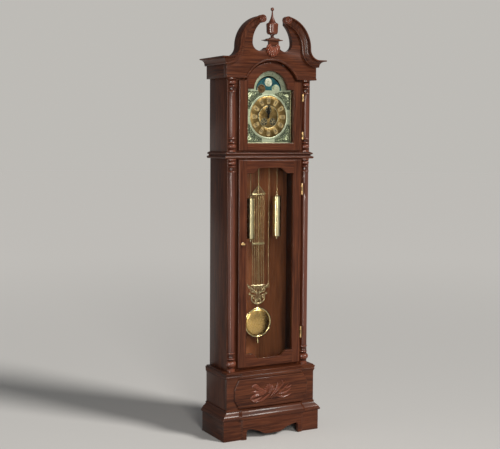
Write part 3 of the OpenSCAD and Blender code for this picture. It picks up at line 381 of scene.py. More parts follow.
def along_moulding(bm, front):
    """Grain along the front length and along the sides."""
    for face in bm.faces:
        middle = face.calc_center_median()
        face.material_index = 0 if middle.y < front else 1


low_corner, high_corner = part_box("plinth_moulding")
base_low, base_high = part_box("base_boards")
plinth_lip = 0.010
moulding_out = high_corner.x - base_high.x
moulding_rise = high_corner.z - low_corner.z
section = [(0, low_corner.z), (moulding_out - 0.0015, low_corner.z), (moulding_out, low_corner.z + 0.0015)]
section += [
    (moulding_out, low_corner.z + plinth_lip - 0.001), (moulding_out - 0.001, low_corner.z + plinth_lip)
]
for i in range(13):
    t = i / 12
    ogee = 0.0015 + (moulding_out - 0.005) * (1 - ease(t))
    section.append((ogee, low_corner.z + plinth_lip + 0.001 + (moulding_rise - plinth_lip - 0.005) * t))
section += [(0.0045, high_corner.z - 0.004), (0.0045, high_corner.z - 0.001), (0, high_corner.z)]
bm = bmesh.new()
front_slope = (base_low.y - low_corner.y - break_step) / moulding_out
sweep(bm, section, breakfront(base_high.x, base_high.y, base_low.y, front_slope))
along_moulding(bm, base_low.y)
plinth_ogee = finished("plinth_ogee", bm, "case", case_cherry)
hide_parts("plinth_moulding")


# ---- Base ----
# 18 mm boards stand inside the plinth, with eased corners. The front carries a raised panel
# with serpentine ends, planed to a hollow chamfer, and a carved spray of leaves glued on it.
board_piece("base_boards", base_round)

panel_low, panel_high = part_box("base_raised_panel")
panel_chamfer = 0.0062
bm = sawn_boards("base_raised_panel")
grain_by_board(bm)
ease_edges(bm, panel_chamfer, 4, lambda e: all(v.co.y < panel_low.y + 0.0001 for v in e.verts))
raised_panel = finished("raised_panel", bm, "case", case_cherry, 24.0, 0.01)
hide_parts("base_raised_panel")


def curve_points(corners, count):
    """Points along a smooth curve with the given control points."""
    points = []
    for i in range(count + 1):
        t = i / count
        level = [Vector(c) for c in corners]
        while len(level) > 1:
            level = [a.lerp(b, t) for a, b in zip(level, level[1:])]
        points.append(level[0])
    return points


leaf_section = [(-1, -0.6), (-1, 0.05), (-0.62, 0.78), (-0.18, 0.86), (0, 0.52), (0.18, 0.86), (0.62, 0.78)]
leaf_section += [(1, 0.05), (1, -0.6)]


def carved_leaf(bm, corners, width, rise, face_y, section=leaf_section, count=12, fat=0.4):
    """One carved stem or leaf on an upright face: broadest a part of the way along."""
    points = curve_points(corners, count)
    ways = []
    for i, (x, z) in enumerate(points):
        before, after = points[max(i - 1, 0)], points[min(i + 1, count)]
        t = i / count
        swell = sin(pi * t ** (math.log(0.5) / math.log(fat))) * 0.94 + 0.06
        heading = (after - before).normalized()
        across = Vector((-heading.y, 0, heading.x)) * width * swell
        outward = Vector((0, -1, 0)) * rise * (0.35 + 0.65 * swell)
        third = across.cross(outward).normalized()
        turned_in = Matrix((across, outward, third)).transposed().to_4x4()
        ways.append(Matrix.Translation((x, face_y, z)) @ turned_in)
    sweep(bm, section, ways)


carving_low, carving_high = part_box("base_carving")
carving_y = carving_high.y
carving_rise = carving_high.y - carving_low.y
bm = bmesh.new()
flower = Vector((-0.012, 0.219))
petal_width, petal_rise = 0.0052, 0.0046
for angle in (18, 38, 57, 76, 95, 114, 133, 152, 172):
    reach = 0.040 - 0.00012 * abs(angle - 95)
    way = Vector((cos(radians(angle)), sin(radians(angle))))
    bend = Vector((-way.y, way.x)) * (0.006 if angle < 95 else -0.006)
    petal = (flower + way * 0.006, flower + way * 0.026 + bend, flower + way * reach)
    carved_leaf(bm, petal, petal_width, petal_rise, carving_y, fat=0.62)
sprays = (
    (((-0.022, 0.219), (-0.050, 0.216), (-0.072, 0.243), (-0.112, 0.256)), 0.0095, 0.45),
    (((-0.060, 0.232), (-0.082, 0.262), (-0.104, 0.262), (-0.109, 0.243)), 0.0070, 0.5),
    (((-0.030, 0.214), (-0.056, 0.204), (-0.082, 0.229), (-0.117, 0.226)), 0.0080, 0.55),
    (((-0.040, 0.204), (-0.072, 0.213), (-0.112, 0.207), (-0.118, 0.189)), 0.0082, 0.5),
    (((-0.118, 0.192), (-0.104, 0.172), (-0.078, 0.183), (-0.052, 0.199)), 0.0075, 0.5),
    (((-0.088, 0.178), (-0.062, 0.166), (-0.030, 0.196), (-0.006, 0.210)), 0.0060, 0.5),
    (((-0.004, 0.182), (0.022, 0.214), (0.052, 0.240), (0.079, 0.264)), 0.0030, 0.55),
    (((-0.014, 0.188), (0.004, 0.206), (0.028, 0.224), (0.046, 0.243)), 0.0034, 0.55),
    (((0.014, 0.196), (0.044, 0.204), (0.070, 0.226), (0.097, 0.248)), 0.0034, 0.5),
    (((0.000, 0.210), (0.026, 0.222), (0.040, 0.246), (0.030, 0.262)), 0.0052, 0.55),
    (((0.030, 0.206), (0.060, 0.196), (0.090, 0.204), (0.108, 0.226)), 0.0058, 0.5),
    (((0.024, 0.194), (0.056, 0.178), (0.092, 0.182), (0.110, 0.199)), 0.0046, 0.5),
    (((0.058, 0.236), (0.064, 0.252), (0.060, 0.262), (0.052, 0.268)), 0.0044, 0.5),
    (((0.070, 0.228), (0.086, 0.224), (0.100, 0.230), (0.110, 0.240)), 0.0042, 0.5),
)
for corners, width, fat in sprays:
    carved_leaf(bm, corners, width, carving_rise, carving_y, fat=fat)
for ring_radius, count, bead in ((0.0, 1, 0.0042), (0.0072, 7, 0.0024)):
    for i in range(count):
        turn = 2 * pi * i / count
        seed = bmesh.ops.create_icosphere(bm, subdivisions=2, radius=bead)["verts"]
        x, z = flower.x + ring_radius * cos(turn), flower.y + ring_radius * sin(turn)
        at = Matrix.Translation((x, carving_y - 0.001, z)) @ Matrix.Diagonal((1, 0.8, 1, 1))
        bmesh.ops.transform(bm, matrix=at, verts=seed)


def turned_cherry(name, tone):
    """Turned or carved cherry: the case finish, paler on its crests and edges than in its hollows, partly
    rubbing wear and partly painted highlight and shade.
    """
    finish, shader, place = new_finish(name)
    figure = place.stretched((40, 40, 6)).speckle(1.0, 4.0, 0.6, 0.8)
    streak = place.stretched((260, 260, 16)).speckle(1.0, 3.0, 0.6)
    hollow = place.add("NewGeometry", {}, outlet="Pointiness").above(0.5, 0.04)
    rubbed = place.speckle(60.0, 3.0, 0.6)
    dark = [0.016 * tone, 0.0040 * tone, 0.0022 * tone, 1.0]
    middle = [0.080 * tone, 0.0195 * tone, 0.0092 * tone, 1.0]
    pale = [0.21 * tone, 0.060 * tone, 0.030 * tone, 1.0]
    body = (figure * 0.6 + streak * 0.5).above(0.52, 0.3).blend(dark, middle)
    # Crests and edges picked out by pointiness are painted paler: partly rubbing wear, partly a painted
    # highlight that leaves the hollows as painted shade.
    body = (hollow * (0.3 + rubbed * 0.5)).blend(body, pale)
    feed(
        shader,
        Base_Color=body,
        Roughness=0.22 + streak * 0.12 + rubbed * 0.14,
        Specular_IOR_Level=0.22,
        Coat_Weight=0.2 + rubbed * 0.35,
        Coat_Roughness=0.12,
        Normal=bumped(streak + rubbed * 0.5, 0.3, 0.0003),
    )
    return finish


# Carvings in this finish carry painted highlights on their crests as well as rubbing wear.
rubbed_and_highlit_cherry = turned_cherry("rubbed_and_highlit_cherry", 1.05)
leaf_spray = finished("leaf_spray", bm, "case", [rubbed_and_highlit_cherry], 60.0)
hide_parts("base_carving")

top_low, top_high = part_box("base_top_moulding")
top_steps = [(0, 0), (0.0012, 0), (0.0020, 0.0012), (0.0020, 0.0050), (0.0036, 0.0066), (0.0040, 0.0100)]
top_steps += [(0.0036, 0.0134), (0.0028, 0.0146), (0.0044, 0.0160), (0.0050, 0.0190), (0.0044, 0.0214)]
top_steps += [(0.0032, 0.0222), (0.0056, 0.0232), (0.0060, 0.0250), (0.0052, 0.0272), (0, 0.0280)]
bm = bmesh.new()
section = [(out, top_low.z + rise) for out, rise in top_steps]
sweep(bm, section, breakfront(base_high.x, base_high.y, base_low.y, 1.0))
along_moulding(bm, base_low.y)
base_reeds = finished("base_reeds", bm, "case", case_cherry, 40.0)
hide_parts("base_top_moulding")


# ---- Trunk ----
# Two side boards and a face frame of stiles and rails, with half columns turned between
# centres, split down their length, reeded along the shaft and glued to the face.
board_piece("trunk_sides", base_round)
board_piece("trunk_front_frame", frame_round)


def outline_arc(centre_r, centre_z, radius, start, end, count=6):
    """Points of an arc in an outline of (radius, height)."""
    angles = [radians(start + (end - start) * i / count) for i in range(count + 1)]
    return [(centre_r + radius * cos(a), centre_z + radius * sin(a)) for a in angles]


def column_outline(r, h, foot, head):
    """The turned foot and head of a column, as two outlines of (radius, height)."""
    ring, neck = r + 0.003, r * 0.62
    low = [(0, 0), (ring, 0), (ring, foot * 0.1), (r - 0.002, foot * 0.14), (neck, foot * 0.2)]
    low += outline_arc(neck, foot * 0.38, foot * 0.16, -70, 70, 8) + [(neck, foot * 0.56)]
    low += outline_arc(ring - 0.003, foot * 0.63, 0.003, -90, 90, 4) + [(neck + 0.002, foot * 0.72)]
    low += [(neck + 0.002, foot * 0.8)] + outline_arc(
        ring - 0.004, foot * 0.91, 0.004, -90, 90, 4
    ) + [(r, foot)]
    top = [(r, h - head)] + outline_arc(ring - 0.003, h - head * 0.91, 0.003, -90, 90, 4)
    top += [(neck + 0.002, h - head * 0.8), (neck + 0.002, h - head * 0.66)]
    top += outline_arc(ring - 0.003, h - head * 0.56, 0.0025, -90, 90, 4) + [(neck, h - head * 0.46)]
    top += outline_arc(neck, h - head * 0.3, head * 0.14, -60, 60, 8)
    top += [(neck, h - head * 0.14), (ring, h - head * 0.1), (ring, h), (0, h)]
    return low, top


def half_column(bm, x, y, low, r, h, foot, head, reeds):
    """A split turning on the face: the outline spun half round, its shaft cut in reeds."""
    lower, upper = column_outline(r, h, foot, head)
    outline = lower + [(r, foot + (h - foot - head) * i / 6) for i in range(1, 6)] + upper
    verts = [bm.verts.new((-a, 0, b)) for a, b in outline]
    edges = [bm.edges.new(pair) for pair in zip(verts, verts[1:] + verts[:1])]
    bmesh.ops.spin(
        bm, geom=verts + edges, cent=(0, 0, 0), axis=(0, 0, 1), angle=pi, steps=reeds * 4,
        use_duplicate=False,
    )
    mine = [v for v in bm.verts if not v.tag]
    bmesh.ops.remove_doubles(bm, verts=mine, dist=0.000002)
    mine = [v for v in bm.verts if not v.tag]
    ends = [e for e in bm.edges if e.is_boundary and not e.verts[0].tag]
    bmesh.ops.holes_fill(bm, edges=ends, sides=0)
    for v in mine:
        if foot - 0.0001 < v.co.z < h - head + 0.0001 and v.co.xy.length > r - 0.0005:
            turn = math.atan2(-v.co.y, v.co.x)
            depth = 1 - 0.085 * (0.5 + 0.5 * cos(turn * reeds * 2))
            v.co.x *= depth
            v.co.y *= depth
    bmesh.ops.transform(bm, matrix=Matrix.Translation((x, y - 0.0001, low)), verts=mine)
    for v in mine:
        v.tag = True


column_x = 0.201
trunk_column_r, trunk_foot, trunk_head, trunk_reeds = 0.017, 0.097, 0.067, 7
trunk_low, trunk_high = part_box("trunk_columns")
bm = bmesh.new()
for x in (-column_x, column_x):
    height = trunk_high.z - trunk_low.z
    half_column(
        bm, x, trunk_high.y, trunk_low.z, trunk_column_r, height, trunk_foot, trunk_head, trunk_reeds
    )
bmesh.ops.recalc_face_normals(bm, faces=bm.faces)
lathe_cherry = turned_cherry("lathe_cherry", 0.95)
trunk_turnings = finished("trunk_turnings", bm, "case", [lathe_cherry], 38.0)
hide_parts("trunk_columns")


# ---- Waist ----
# Where the hood sits on the trunk, a moulding with two round noses and a hollow between
# them runs round three sides, mitred at the corners.
waist_low, waist_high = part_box("waist_moulding")
hood_half = 0.225
face_y = trunk_high.y


waist_out = waist_high.x - hood_half
waist_rise = waist_high.z - waist_low.z
lower_nose, upper_nose = waist_rise * 0.19, waist_rise * 0.15
section = [(0, 0)] + outline_arc(waist_out - lower_nose, lower_nose, lower_nose, -90, 90, 8)
section += [(waist_out - 0.0105, 2 * lower_nose + 0.0012), (waist_out - 0.0112, 0.0160)]
section += [(waist_out - 0.0105, waist_rise - 2 * upper_nose - 0.0042)]
section += outline_arc(
    waist_out - upper_nose - 0.003, waist_rise - upper_nose - 0.003, upper_nose, -90, 90, 8
)
section += [(waist_out - 0.011, waist_rise - 0.002), (waist_out - 0.011, waist_rise), (0, waist_rise)]


def round_front(half, back, front, level):
    """Stations round three sides: left side, front, right side."""
    return [
        station((half, back, level), (1, 0, 0), upward), station((half, front, level), (1, -1, 0), upward),
        station(
            (-half, front, level), (-1, -1, 0), upward
        ), station((-half, back, level), (-1, 0, 0), upward),
    ]


bm = bmesh.new()
sweep(bm, section, round_front(hood_half, waist_high.y, face_y, waist_low.z))
along_moulding(bm, face_y)
waist_noses = finished("waist_noses", bm, "case", case_cherry, 40.0)
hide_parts("waist_moulding")


# ---- Hood ----
# The hood's sides, roof and arched face frame are boards like the trunk's, with shorter
# split columns on the stiles.
board_piece("hood_carcass", 0.0012)
board_piece("hood_front_frame", frame_round)
columns_low, columns_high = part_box("hood_columns")
hood_column_r, hood_foot, hood_reeds = 0.0155, 0.070, 6
bm = bmesh.new()
for x in (-column_x, column_x):
    height = columns_high.z - columns_low.z
    foot_z = columns_low.z
    half_column(bm, x, columns_high.y, foot_z, hood_column_r, height, hood_foot, hood_foot, hood_reeds)
bmesh.ops.recalc_face_normals(bm, faces=bm.faces)
hood_turnings = finished("hood_turnings", bm, "case", [lathe_cherry], 38.0)
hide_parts("hood_columns")


# ---- Scroll pediment ----
# The tympanum is one wide board sawn to the arch and to the two scrolls. A bead follows its
# arch, and a crown moulding runs level at the sides, turns up a hollow and bows to a rosette.
board_piece("tympanum", 0.0009)

crown_low, crown_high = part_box("cornice_sides")
frieze_half = 0.243
frieze_y = -0.088
crown_z = crown_low.z
crown_out, crown_height = 0.037, crown_high.z - crown_low.z
hollow_radius, bow_radius = 0.050, 0.148
crown_section = [(0, 0), (0.0095, 0), (0.0100, 0.0006), (0.0104, 0.0046), (0.0112, 0.0054)]
crown_section += [
    (0.011 + (crown_out - 0.015) * (1 - cos(radians(a))), 0.006 + (crown_height - 0.012) * sin(radians(a)))
    for a in range(0, 91, 9)
]
crown_section += [(crown_out - 0.004, crown_height - 0.0056), (crown_out - 0.0006, crown_height - 0.0056)]
crown_section += [(crown_out, crown_height - 0.0050), (crown_out, crown_height - 0.0008)]
crown_section += [(crown_out - 0.001, crown_height), (0, crown_height)]

hollow_x = frieze_half - 0.002
hollow_z = crown_high.z + hollow_radius
bow_x = hollow_x - hollow_radius - bow_radius
side_names = {1: "right", -1: "left"}
for side in (1, -1):
    bm = bmesh.new()
    outward = (0, -1, 0)
    mitre = station((side * frieze_half, frieze_y, crown_z), (side, -1, 0), upward)
    ways = [station((side * frieze_half, 0.125, crown_z), (side, 0, 0), upward), mitre]
    for i in range(15):
        turn = radians(270 - 90 * i / 14)
        reach = hollow_radius + crown_height
        origin = (side * (hollow_x + reach * cos(turn)), frieze_y, hollow_z + reach * sin(turn))
        ways.append(station(origin, outward, (-side * cos(turn), 0, -sin(turn))))
    for i in range(1, 25):
        turn = radians(80 * i / 24)
        reach = bow_radius - crown_height
        origin = (side * (bow_x + reach * cos(turn)), frieze_y, hollow_z + reach * sin(turn))
        ways.append(station(origin, outward, (side * cos(turn), 0, sin(turn))))
    sweep(bm, crown_section, ways)
    for face in bm.faces:
        middle = face.calc_center_median()
        face.material_index = 1 if middle.y > frieze_y else 2 if middle.z > hollow_z else 0
    crown = finished("crown_moulding_" + side_names[side], bm, "case", case_cherry, 40.0)
    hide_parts("swan_necks", "cornice_sides")


# ---- Rosettes ----
# A turned boss with carved petals closes the end of each scroll, planted on the moulding's end.
def turned(bm, outline, where, steps=48):
    """Spins an outline of (radius, height) round the third axis and puts it in place."""
    old = set(bm.verts)
    verts = [bm.verts.new((radius, 0, height)) for radius, height in outline]
    edges = [bm.edges.new(pair) for pair in zip(verts, verts[1:])]
    if outline[0][0] > 0 and outline[-1][0] > 0:
        edges.append(bm.edges.new((verts[-1], verts[0])))
    bmesh.ops.spin(
        bm, geom=verts + edges, cent=(0, 0, 0), axis=(0, 0, 1), angle=2 * pi, steps=steps, use_merge=True
    )
    mine = [v for v in bm.verts if v not in old]
    bmesh.ops.remove_doubles(bm, verts=mine, dist=0.0000015)
    mine = [v for v in bm.verts if v not in old]
    faces = {f for v in mine for f in v.link_faces}
    bmesh.ops.recalc_face_normals(bm, faces=list(faces))
    bmesh.ops.transform(bm, matrix=where, verts=mine)
    return mine


def facing(x, y, z):
    """Turns a lathe's axis to point forwards, at a place."""
    return Matrix.Translation((x, y, z)) @ Matrix.Rotation(pi / 2, 4, "X")


rosette_x = bow_x + bow_radius * cos(radians(80))
rosette_z = hollow_z + (bow_radius - 0.018) * sin(radians(80)) + 0.002
boss = [
    (0, 0.0372), (0.0024, 0.0369), (0.0040, 0.0355), (0.0046, 0.0336), (0.0052, 0.0330), (0.0062, 0.0336)
]
boss += [
    (0.0120, 0.0326), (0.0128, 0.0332), (0.0146, 0.0350), (0.0164, 0.0340), (0.0176, 0.0320),
    (0.0180, 0.0290)
]
boss += [(0.0172, 0.0270), (0.0180, 0.0250), (0.0180, 0.0), (0, 0)]
for side in (1, -1):
    bm = bmesh.new()
    turned(bm, boss, facing(side * rosette_x, frieze_y, rosette_z))
    for i in range(8):
        turn = 2 * pi * i / 8 + 0.2
        way = Vector((cos(turn), sin(turn)))
        middle = Vector((side * rosette_x, rosette_z))
        petal = (middle + way * 0.0042, middle + way * 0.0090, middle + way * 0.0132)
        carved_leaf(bm, petal, 0.0031, 0.0030, -0.1208, count=6, fat=0.6)
    finished("rosette_" + side_names[side], bm, "case", [rubbed_and_highlit_cherry], 50.0)


# ---- Finial and shell ----
# A block with a winged cap stands between the scrolls and carries an urn turned with a slender
# spire. Below it a carved fan of flutes is glued to the board.
board_piece("finial_pedestal", 0.0011)

finial_low, finial_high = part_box("finial")
finial_y = (finial_low.y + finial_high.y) / 2
urn = [
    (0, 0), (0.0156, 0), (0.0160, 0.0006), (0.0160, 0.0026), (0.0150, 0.0034), (0.0100, 0.0046),
    (0.0082, 0.0070)
]
urn += [
    (0.0075, 0.0110), (0.0080, 0.0140), (0.0094, 0.0160), (0.0120, 0.0166), (0.0122, 0.0184),
    (0.0165, 0.0208)
]
urn += outline_arc(0.011, 0.032, 0.016, -50, 0, 6)
urn += [
    (0.0272, 0.041), (0.0275, 0.050), (0.0281, 0.058), (0.0285, 0.064), (0.0285, 0.0676), (0.0276, 0.0690)
]
urn += [(0.0248, 0.0696), (0.0246, 0.0712), (0.0225, 0.0724)]
spire_top = finial_high.z - finial_low.z - 0.0085
urn += [
    (0.003 + 0.0160 * (1 - i / 16) ** 2.2, 0.0730 + (spire_top - 0.0075 - 0.0730) * i / 16)
    for i in range(17)
]
urn += outline_arc(0, spire_top, 0.0085, -60, 90, 12)
urn[-1] = (0, urn[-1][1])
bm = bmesh.new()
turned(bm, urn, Matrix.Translation((0, finial_y, finial_low.z)))
urn_finial = finished("urn_finial", bm, "case", [lathe_cherry], 34.0)
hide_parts("finial")

shell_low, shell_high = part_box("shell_carving")
shell_top = shell_high.z
bm = sawn_boards("shell_carving")
bmesh.ops.scale(
    bm, vec=(0.97, 0.45, 0.97), space=Matrix.Translation((0, -shell_high.y, -shell_top)), verts=bm.verts
)
flute_section = [(-1, -0.1), (-0.9, 0.45), (-0.45, 0.9), (0, 1.0), (0.45, 0.9), (0.9, 0.45), (1, -0.1)]
for i in range(9):
    turn = radians(188 + 20.5 * i)
    way = Vector((0.0365 * cos(turn), 0.0465 * sin(turn)))
    start = Vector((0.0060 * cos(turn), shell_top + 0.0160))
    flute = (start, start + way * 0.45, Vector((0, shell_top)) + way)
    carved_leaf(bm, flute, 0.0050, 0.0120, shell_high.y - 0.0042, flute_section, fat=0.66)
shell_cherry = turned_cherry("shell_cherry", 1.7)
fan_shell = finished("fan_shell", bm, "case", [shell_cherry], 60.0)
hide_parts("shell_carving")


# ---- Back and seat board ----
# The back is one thin stained board, matt inside. The seat board carries the movement.
back_finish, shader, place = new_finish("stained_back")
figure = place.stretched((13, 13, 1.3)).speckle(1.0, 4.0, 0.6, 1.5)
streak = place.stretched((120, 120, 5)).speckle(1.0, 3.0, 0.6)
body = figure.above(0.5, 0.24).blend([0.105, 0.030, 0.013, 1.0], [0.350, 0.108, 0.040, 1.0])
body = (streak.above(0.5, 0.25) * 0.5).blend(body, [0.470, 0.165, 0.062, 1.0])
feed(
    shader, Base_Color=body, Roughness=0.42 + streak * 0.25, Coat_Weight=0.12,
    Normal=bumped(streak + figure * 0.5, 0.3, 0.0004)
)
bm = sawn_boards("back_panel")
ease_edges(bm, 0.001)
back_board = finished("back_board", bm, "case", [back_finish], flat_above=board_flat)
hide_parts("back_panel")
board_piece("seat_board", frame_round)


# ---- Door frames ----
# Each door is two stiles and two shaped rails, glued, with the outer edge rounded over and the
# edge towards the glass chamfered. The upper door has an arched head.
door_round, glass_chamfer = 0.0055, 0.0034


def door_piece(name, node, body, outer, inner, joint):
    """A frame between two outlines, its joints cut at x = joint on both sides."""
    low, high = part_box(node)
    bm = bmesh.new()
    loops = []
    for outline in (outer, inner):
        verts = [bm.verts.new((x, high.y, z)) for x, z in outline]
        loops += [bm.edges.new(pair) for pair in zip(verts, verts[1:] + verts[:1])]
    bmesh.ops.triangle_fill(bm, edges=loops, use_beauty=True, use_dissolve=False)
    for x in (-joint, joint):
        whole = bm.verts[:] + bm.edges[:] + bm.faces[:]
        bmesh.ops.bisect_plane(bm, geom=whole, dist=0.00002, plane_co=(x, 0, 0), plane_no=(1, 0, 0))
    for face in bm.faces:
        face.material_index = 2 if abs(face.calc_center_median().x) > joint else 0
    bmesh.ops.dissolve_limit(bm, angle_limit=0.01, verts=bm.verts, edges=bm.edges, delimit={"MATERIAL"})
    grown = bmesh.ops.extrude_face_region(bm, geom=bm.faces[:], use_keep_orig=True)["geom"]
    bmesh.ops.translate(bm, vec=(0, low.y - high.y, 0), verts=only_verts(grown))
    bmesh.ops.recalc_face_normals(bm, faces=bm.faces)
    front = [e for e in bm.edges if e.is_manifold and all(v.co.y < low.y + 0.0001 for v in e.verts)]
    front = [e for e in front if e.calc_face_angle(0.0) > radians(60)]

    def reach(edge, points):
        middle = (edge.verts[0].co + edge.verts[1].co) / 2
        return min((middle.x - x) ** 2 + (middle.z - z) ** 2 for x, z in points)

    def dense(outline):
        points = []
        for (x0, z0), (x1, z1) in zip(outline, outline[1:] + outline[:1]):
            count = max(1, int(math.hypot(x1 - x0, z1 - z0) / 0.01))
            points += [(x0 + (x1 - x0) * i / count, z0 + (z1 - z0) * i / count) for i in range(count)]
        return points

    inner_dense, outer_dense = dense(inner), dense(outer)
    glass_side = [e for e in front if reach(e, inner_dense) < reach(e, outer_dense)]
    outer_side = [e for e in front if e not in glass_side]
    for edges, width, segments in ((outer_side, door_round, 5), (glass_side, glass_chamfer, 2)):
        bmesh.ops.bevel(
            bm, geom=edges, offset=width, offset_type="OFFSET", segments=segments, profile=0.5,
            affect="EDGES", clamp_overlap=False, material=-1,
        )
    piece = finished(name, bm, body, case_cherry, 30.0, board_flat)
    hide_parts(node)


door_low, door_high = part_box("trunk_door_frame")
door_half, glass_half, rail_height, rail_rise = 0.171, 0.127, 0.040, 0.026
edge_line = [(glass_half * 0.45, rail_height)]
edge_line += [
    (glass_half * (0.45 + 0.3 * i / 12), rail_height + rail_rise * ease(i / 12)) for i in range(1, 13)
]
edge_line += [(glass_half, rail_height + rail_rise)]
lower_right = [(x, door_low.z + rise) for x, rise in edge_line]
upper_right = [(x, door_high.z - rise) for x, rise in reversed(edge_line)]
right_side = lower_right + upper_right
trunk_opening = right_side + [(-x, z) for x, z in reversed(right_side)]
trunk_outer = [
    (door_half, door_low.z), (door_half, door_high.z), (-door_half, door_high.z), (-door_half, door_low.z)
]
door_piece("trunk_door_boards", "trunk_door_frame", "trunk_door", trunk_outer, trunk_opening, glass_half)

upper_low, upper_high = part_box("hood_door_frame")
glass_low, glass_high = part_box("hood_door_glass")
arch_radius, arch_z = 0.146, upper_high.z - 0.146
light_half, light_radius = 0.124, 0.092
light_z = glass_high.z - light_radius - 0.008
shoulder_z = arch_z + 0.058
spring = math.asin((shoulder_z - arch_z) / arch_radius)
sweep_angles = [spring + (pi - 2 * spring) * i / 36 for i in range(37)]
hood_outer = [(door_half, upper_low.z), (door_half, shoulder_z)]
hood_outer += [(arch_radius * cos(a), arch_z + arch_radius * sin(a)) for a in sweep_angles]
hood_outer += [(-door_half, shoulder_z), (-door_half, upper_low.z)]
light_spring = math.asin(0.006 / light_radius)
light_angles = [light_spring + (pi - 2 * light_spring) * i / 36 for i in range(37)]
hood_opening = [(light_half, upper_low.z + 0.036), (light_half, light_z + 0.006)]
hood_opening += [(light_radius * cos(a), light_z + light_radius * sin(a)) for a in light_angles]
hood_opening += [(-light_half, light_z + 0.006), (-light_half, upper_low.z + 0.036)]
door_piece("hood_door_boards", "hood_door_frame", "hood_door", hood_outer, hood_opening, light_half)


# ---- Glass ----
# Clear 3 mm sheet in each door, with the faint waviness of drawn glass.
pane = bpy.data.materials.new("clear_pane")
pane.use_nodes = True
tree = pane.node_tree
tree.nodes.clear()
out = tree.nodes.new("ShaderNodeOutputMaterial")
place = Tone(tree, tree.nodes.new("ShaderNodeTexCoord").outputs["Object"])
wave = place.speckle(14.0, 1.0, 0.4)
ripple = bumped(wave, 0.06, 0.002)
clear = place.add("BsdfTransparent", {"Color": (0.92, 0.925, 0.91, 1.0)})
shine = place.add("BsdfGlossy", {"Color": (1.0, 1.0, 1.0, 1.0), "Roughness": 0.03, "Normal": ripple})
edge_on = place.add("Fresnel", {"IOR": 1.13})
mixed = place.add("MixShader", {0: edge_on, 1: clear, 2: shine})
tree.links.new(mixed.socket, out.inputs["Surface"])


def dress(finish, *names):
    """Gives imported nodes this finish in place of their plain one."""
    for name in names:
        slots = nodes[name].data.materials
        slots.clear()
        slots.append(finish)


dress(pane, "trunk_door_glass", "hood_door_glass")


# ---- Hinges and knob ----
# Butt hinges of cast brass let into the door edges, and a small turned knob. Satin brass,
# clouded with dull tarnish and scuffed by handling.
def brass(name, colour, dull, roughness, across=(500, 500, 500), lacquer=0.4, stain=0.35):
    """Lacquered brass: fine brush lines, slow cloudiness and a little tarnish."""
    finish, shader, place = new_finish(name)
    lines = place.stretched(across).speckle(1.0, 2.0, 0.6)
    clouds = place.speckle(24.0, 3.0, 0.6)
    spots = place.speckle(170.0, 3.0, 0.65).above(0.62, 0.06)
    body = (clouds.above(0.5, 0.2) * stain).blend([*colour, 1.0], [*dull, 1.0])
    body = (spots * 0.3).blend(body, [*dull, 1.0])
    feed(
        shader,
        Base_Color=body,
        Metallic=1.0,
        Roughness=roughness + lines * 0.12 + spots * 0.15,
        Coat_Weight=lacquer * (0.5 + clouds),
        Coat_Roughness=0.1,
        Normal=bumped(lines, 0.18, 0.0002),
    )
    return finish


hinge_brass = brass("hinge_brass", (0.42, 0.29, 0.13), (0.14, 0.08, 0.035), 0.32, (60, 60, 900))
dress(hinge_brass, "case_hinges", "trunk_door_hinges", "hood_door_hinges")

knob_low, knob_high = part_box("trunk_door_knob")
knob_x, knob_z = (knob_low.x + knob_high.x) / 2, (knob_low.z + knob_high.z) / 2
knob_line = [
    (0, 0.0200), (0.0030, 0.0196), (0.0052, 0.0180), (0.0066, 0.0156), (0.0070, 0.0130), (0.0064, 0.0104)
]
knob_line += [
    (0.0048, 0.0082), (0.0032, 0.0070), (0.0030, 0.0040), (0.0040, 0.0028), (0.0066, 0.0022),
    (0.0078, 0.0014), (0.0080, 0.0), (0, 0)
]
bm = bmesh.new()
turned(bm, knob_line, facing(knob_x, knob_high.y, knob_z), 32)
door_knob = finished("door_knob", bm, "trunk_door", [hinge_brass], 60.0)
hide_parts("trunk_door_knob")


# ---- Dial plate ----
# A brass plate, silvered and finely matted, with the lunar arc graduated by hand and the two
# humps that hide the moon engraved as globes, one gilt brown and one silver.
dial_low, dial_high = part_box("dial_plate")
ring_low, ring_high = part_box("chapter_ring")
centre_z = (ring_low.z + ring_high.z) / 2
dial_arch_z = dial_high.z - 0.098
plate_y = dial_low.y

silver_finish, shader, place = new_finish("silvered_plate")
matting = place.speckle(1400.0, 2.0, 0.5)
clouds = place.speckle(26.0, 3.0, 0.6)
body = clouds.above(0.5, 0.2).blend([0.52, 0.60, 0.42, 1.0], [0.74, 0.80, 0.62, 1.0])
body = (matting.above(0.6, 0.08) * 0.35).blend(body, [0.30, 0.34, 0.24, 1.0])
feed(
    shader, Base_Color=body, Metallic=0.85, Roughness=0.34 + matting * 0.18, Coat_Weight=0.3 * clouds,
    Normal=bumped(matting, 0.25, 0.0002),
)
dress(silver_finish, "dial_plate")

ink_finish, shader, place = new_finish("engraved_black")
wax = place.speckle(400.0, 3.0, 0.6)
feed(
    shader, Base_Color=wax.above(0.5, 0.2).blend([0.012, 0.014, 0.012, 1.0], [0.045, 0.045, 0.036, 1.0]),
    Roughness=0.35 + wax * 0.3, Normal=bumped(wax, 0.2, 0.0001),
)

# Thin marks are raised 0.15 mm so that they read as filled engraving.
mark_rise = 0.00015


def flat_marks(bm, outlines, y, thickness=mark_rise):
    """Raises flat outlines of (x, z) points by their thickness in front of a face."""
    for outline in outlines:
        face = bm.faces.new([bm.verts.new((x, y, z)) for x, z in outline])
        grown = bmesh.ops.extrude_face_region(bm, geom=[face], use_keep_orig=True)["geom"]
        bmesh.ops.translate(bm, vec=(0, -thickness, 0), verts=only_verts(grown))


def tick(angle, inner, outer, width, centre):
    """A radial mark; 0 degrees is at twelve and angles go clockwise."""
    a = radians(angle)
    way, side = Vector((sin(a), cos(a))), Vector((cos(a), -sin(a))) * width / 2
    middle = Vector(centre)
    return [
        middle + way * inner - side, middle + way * inner + side, middle + way * outer + side,
        middle + way * outer - side
    ]


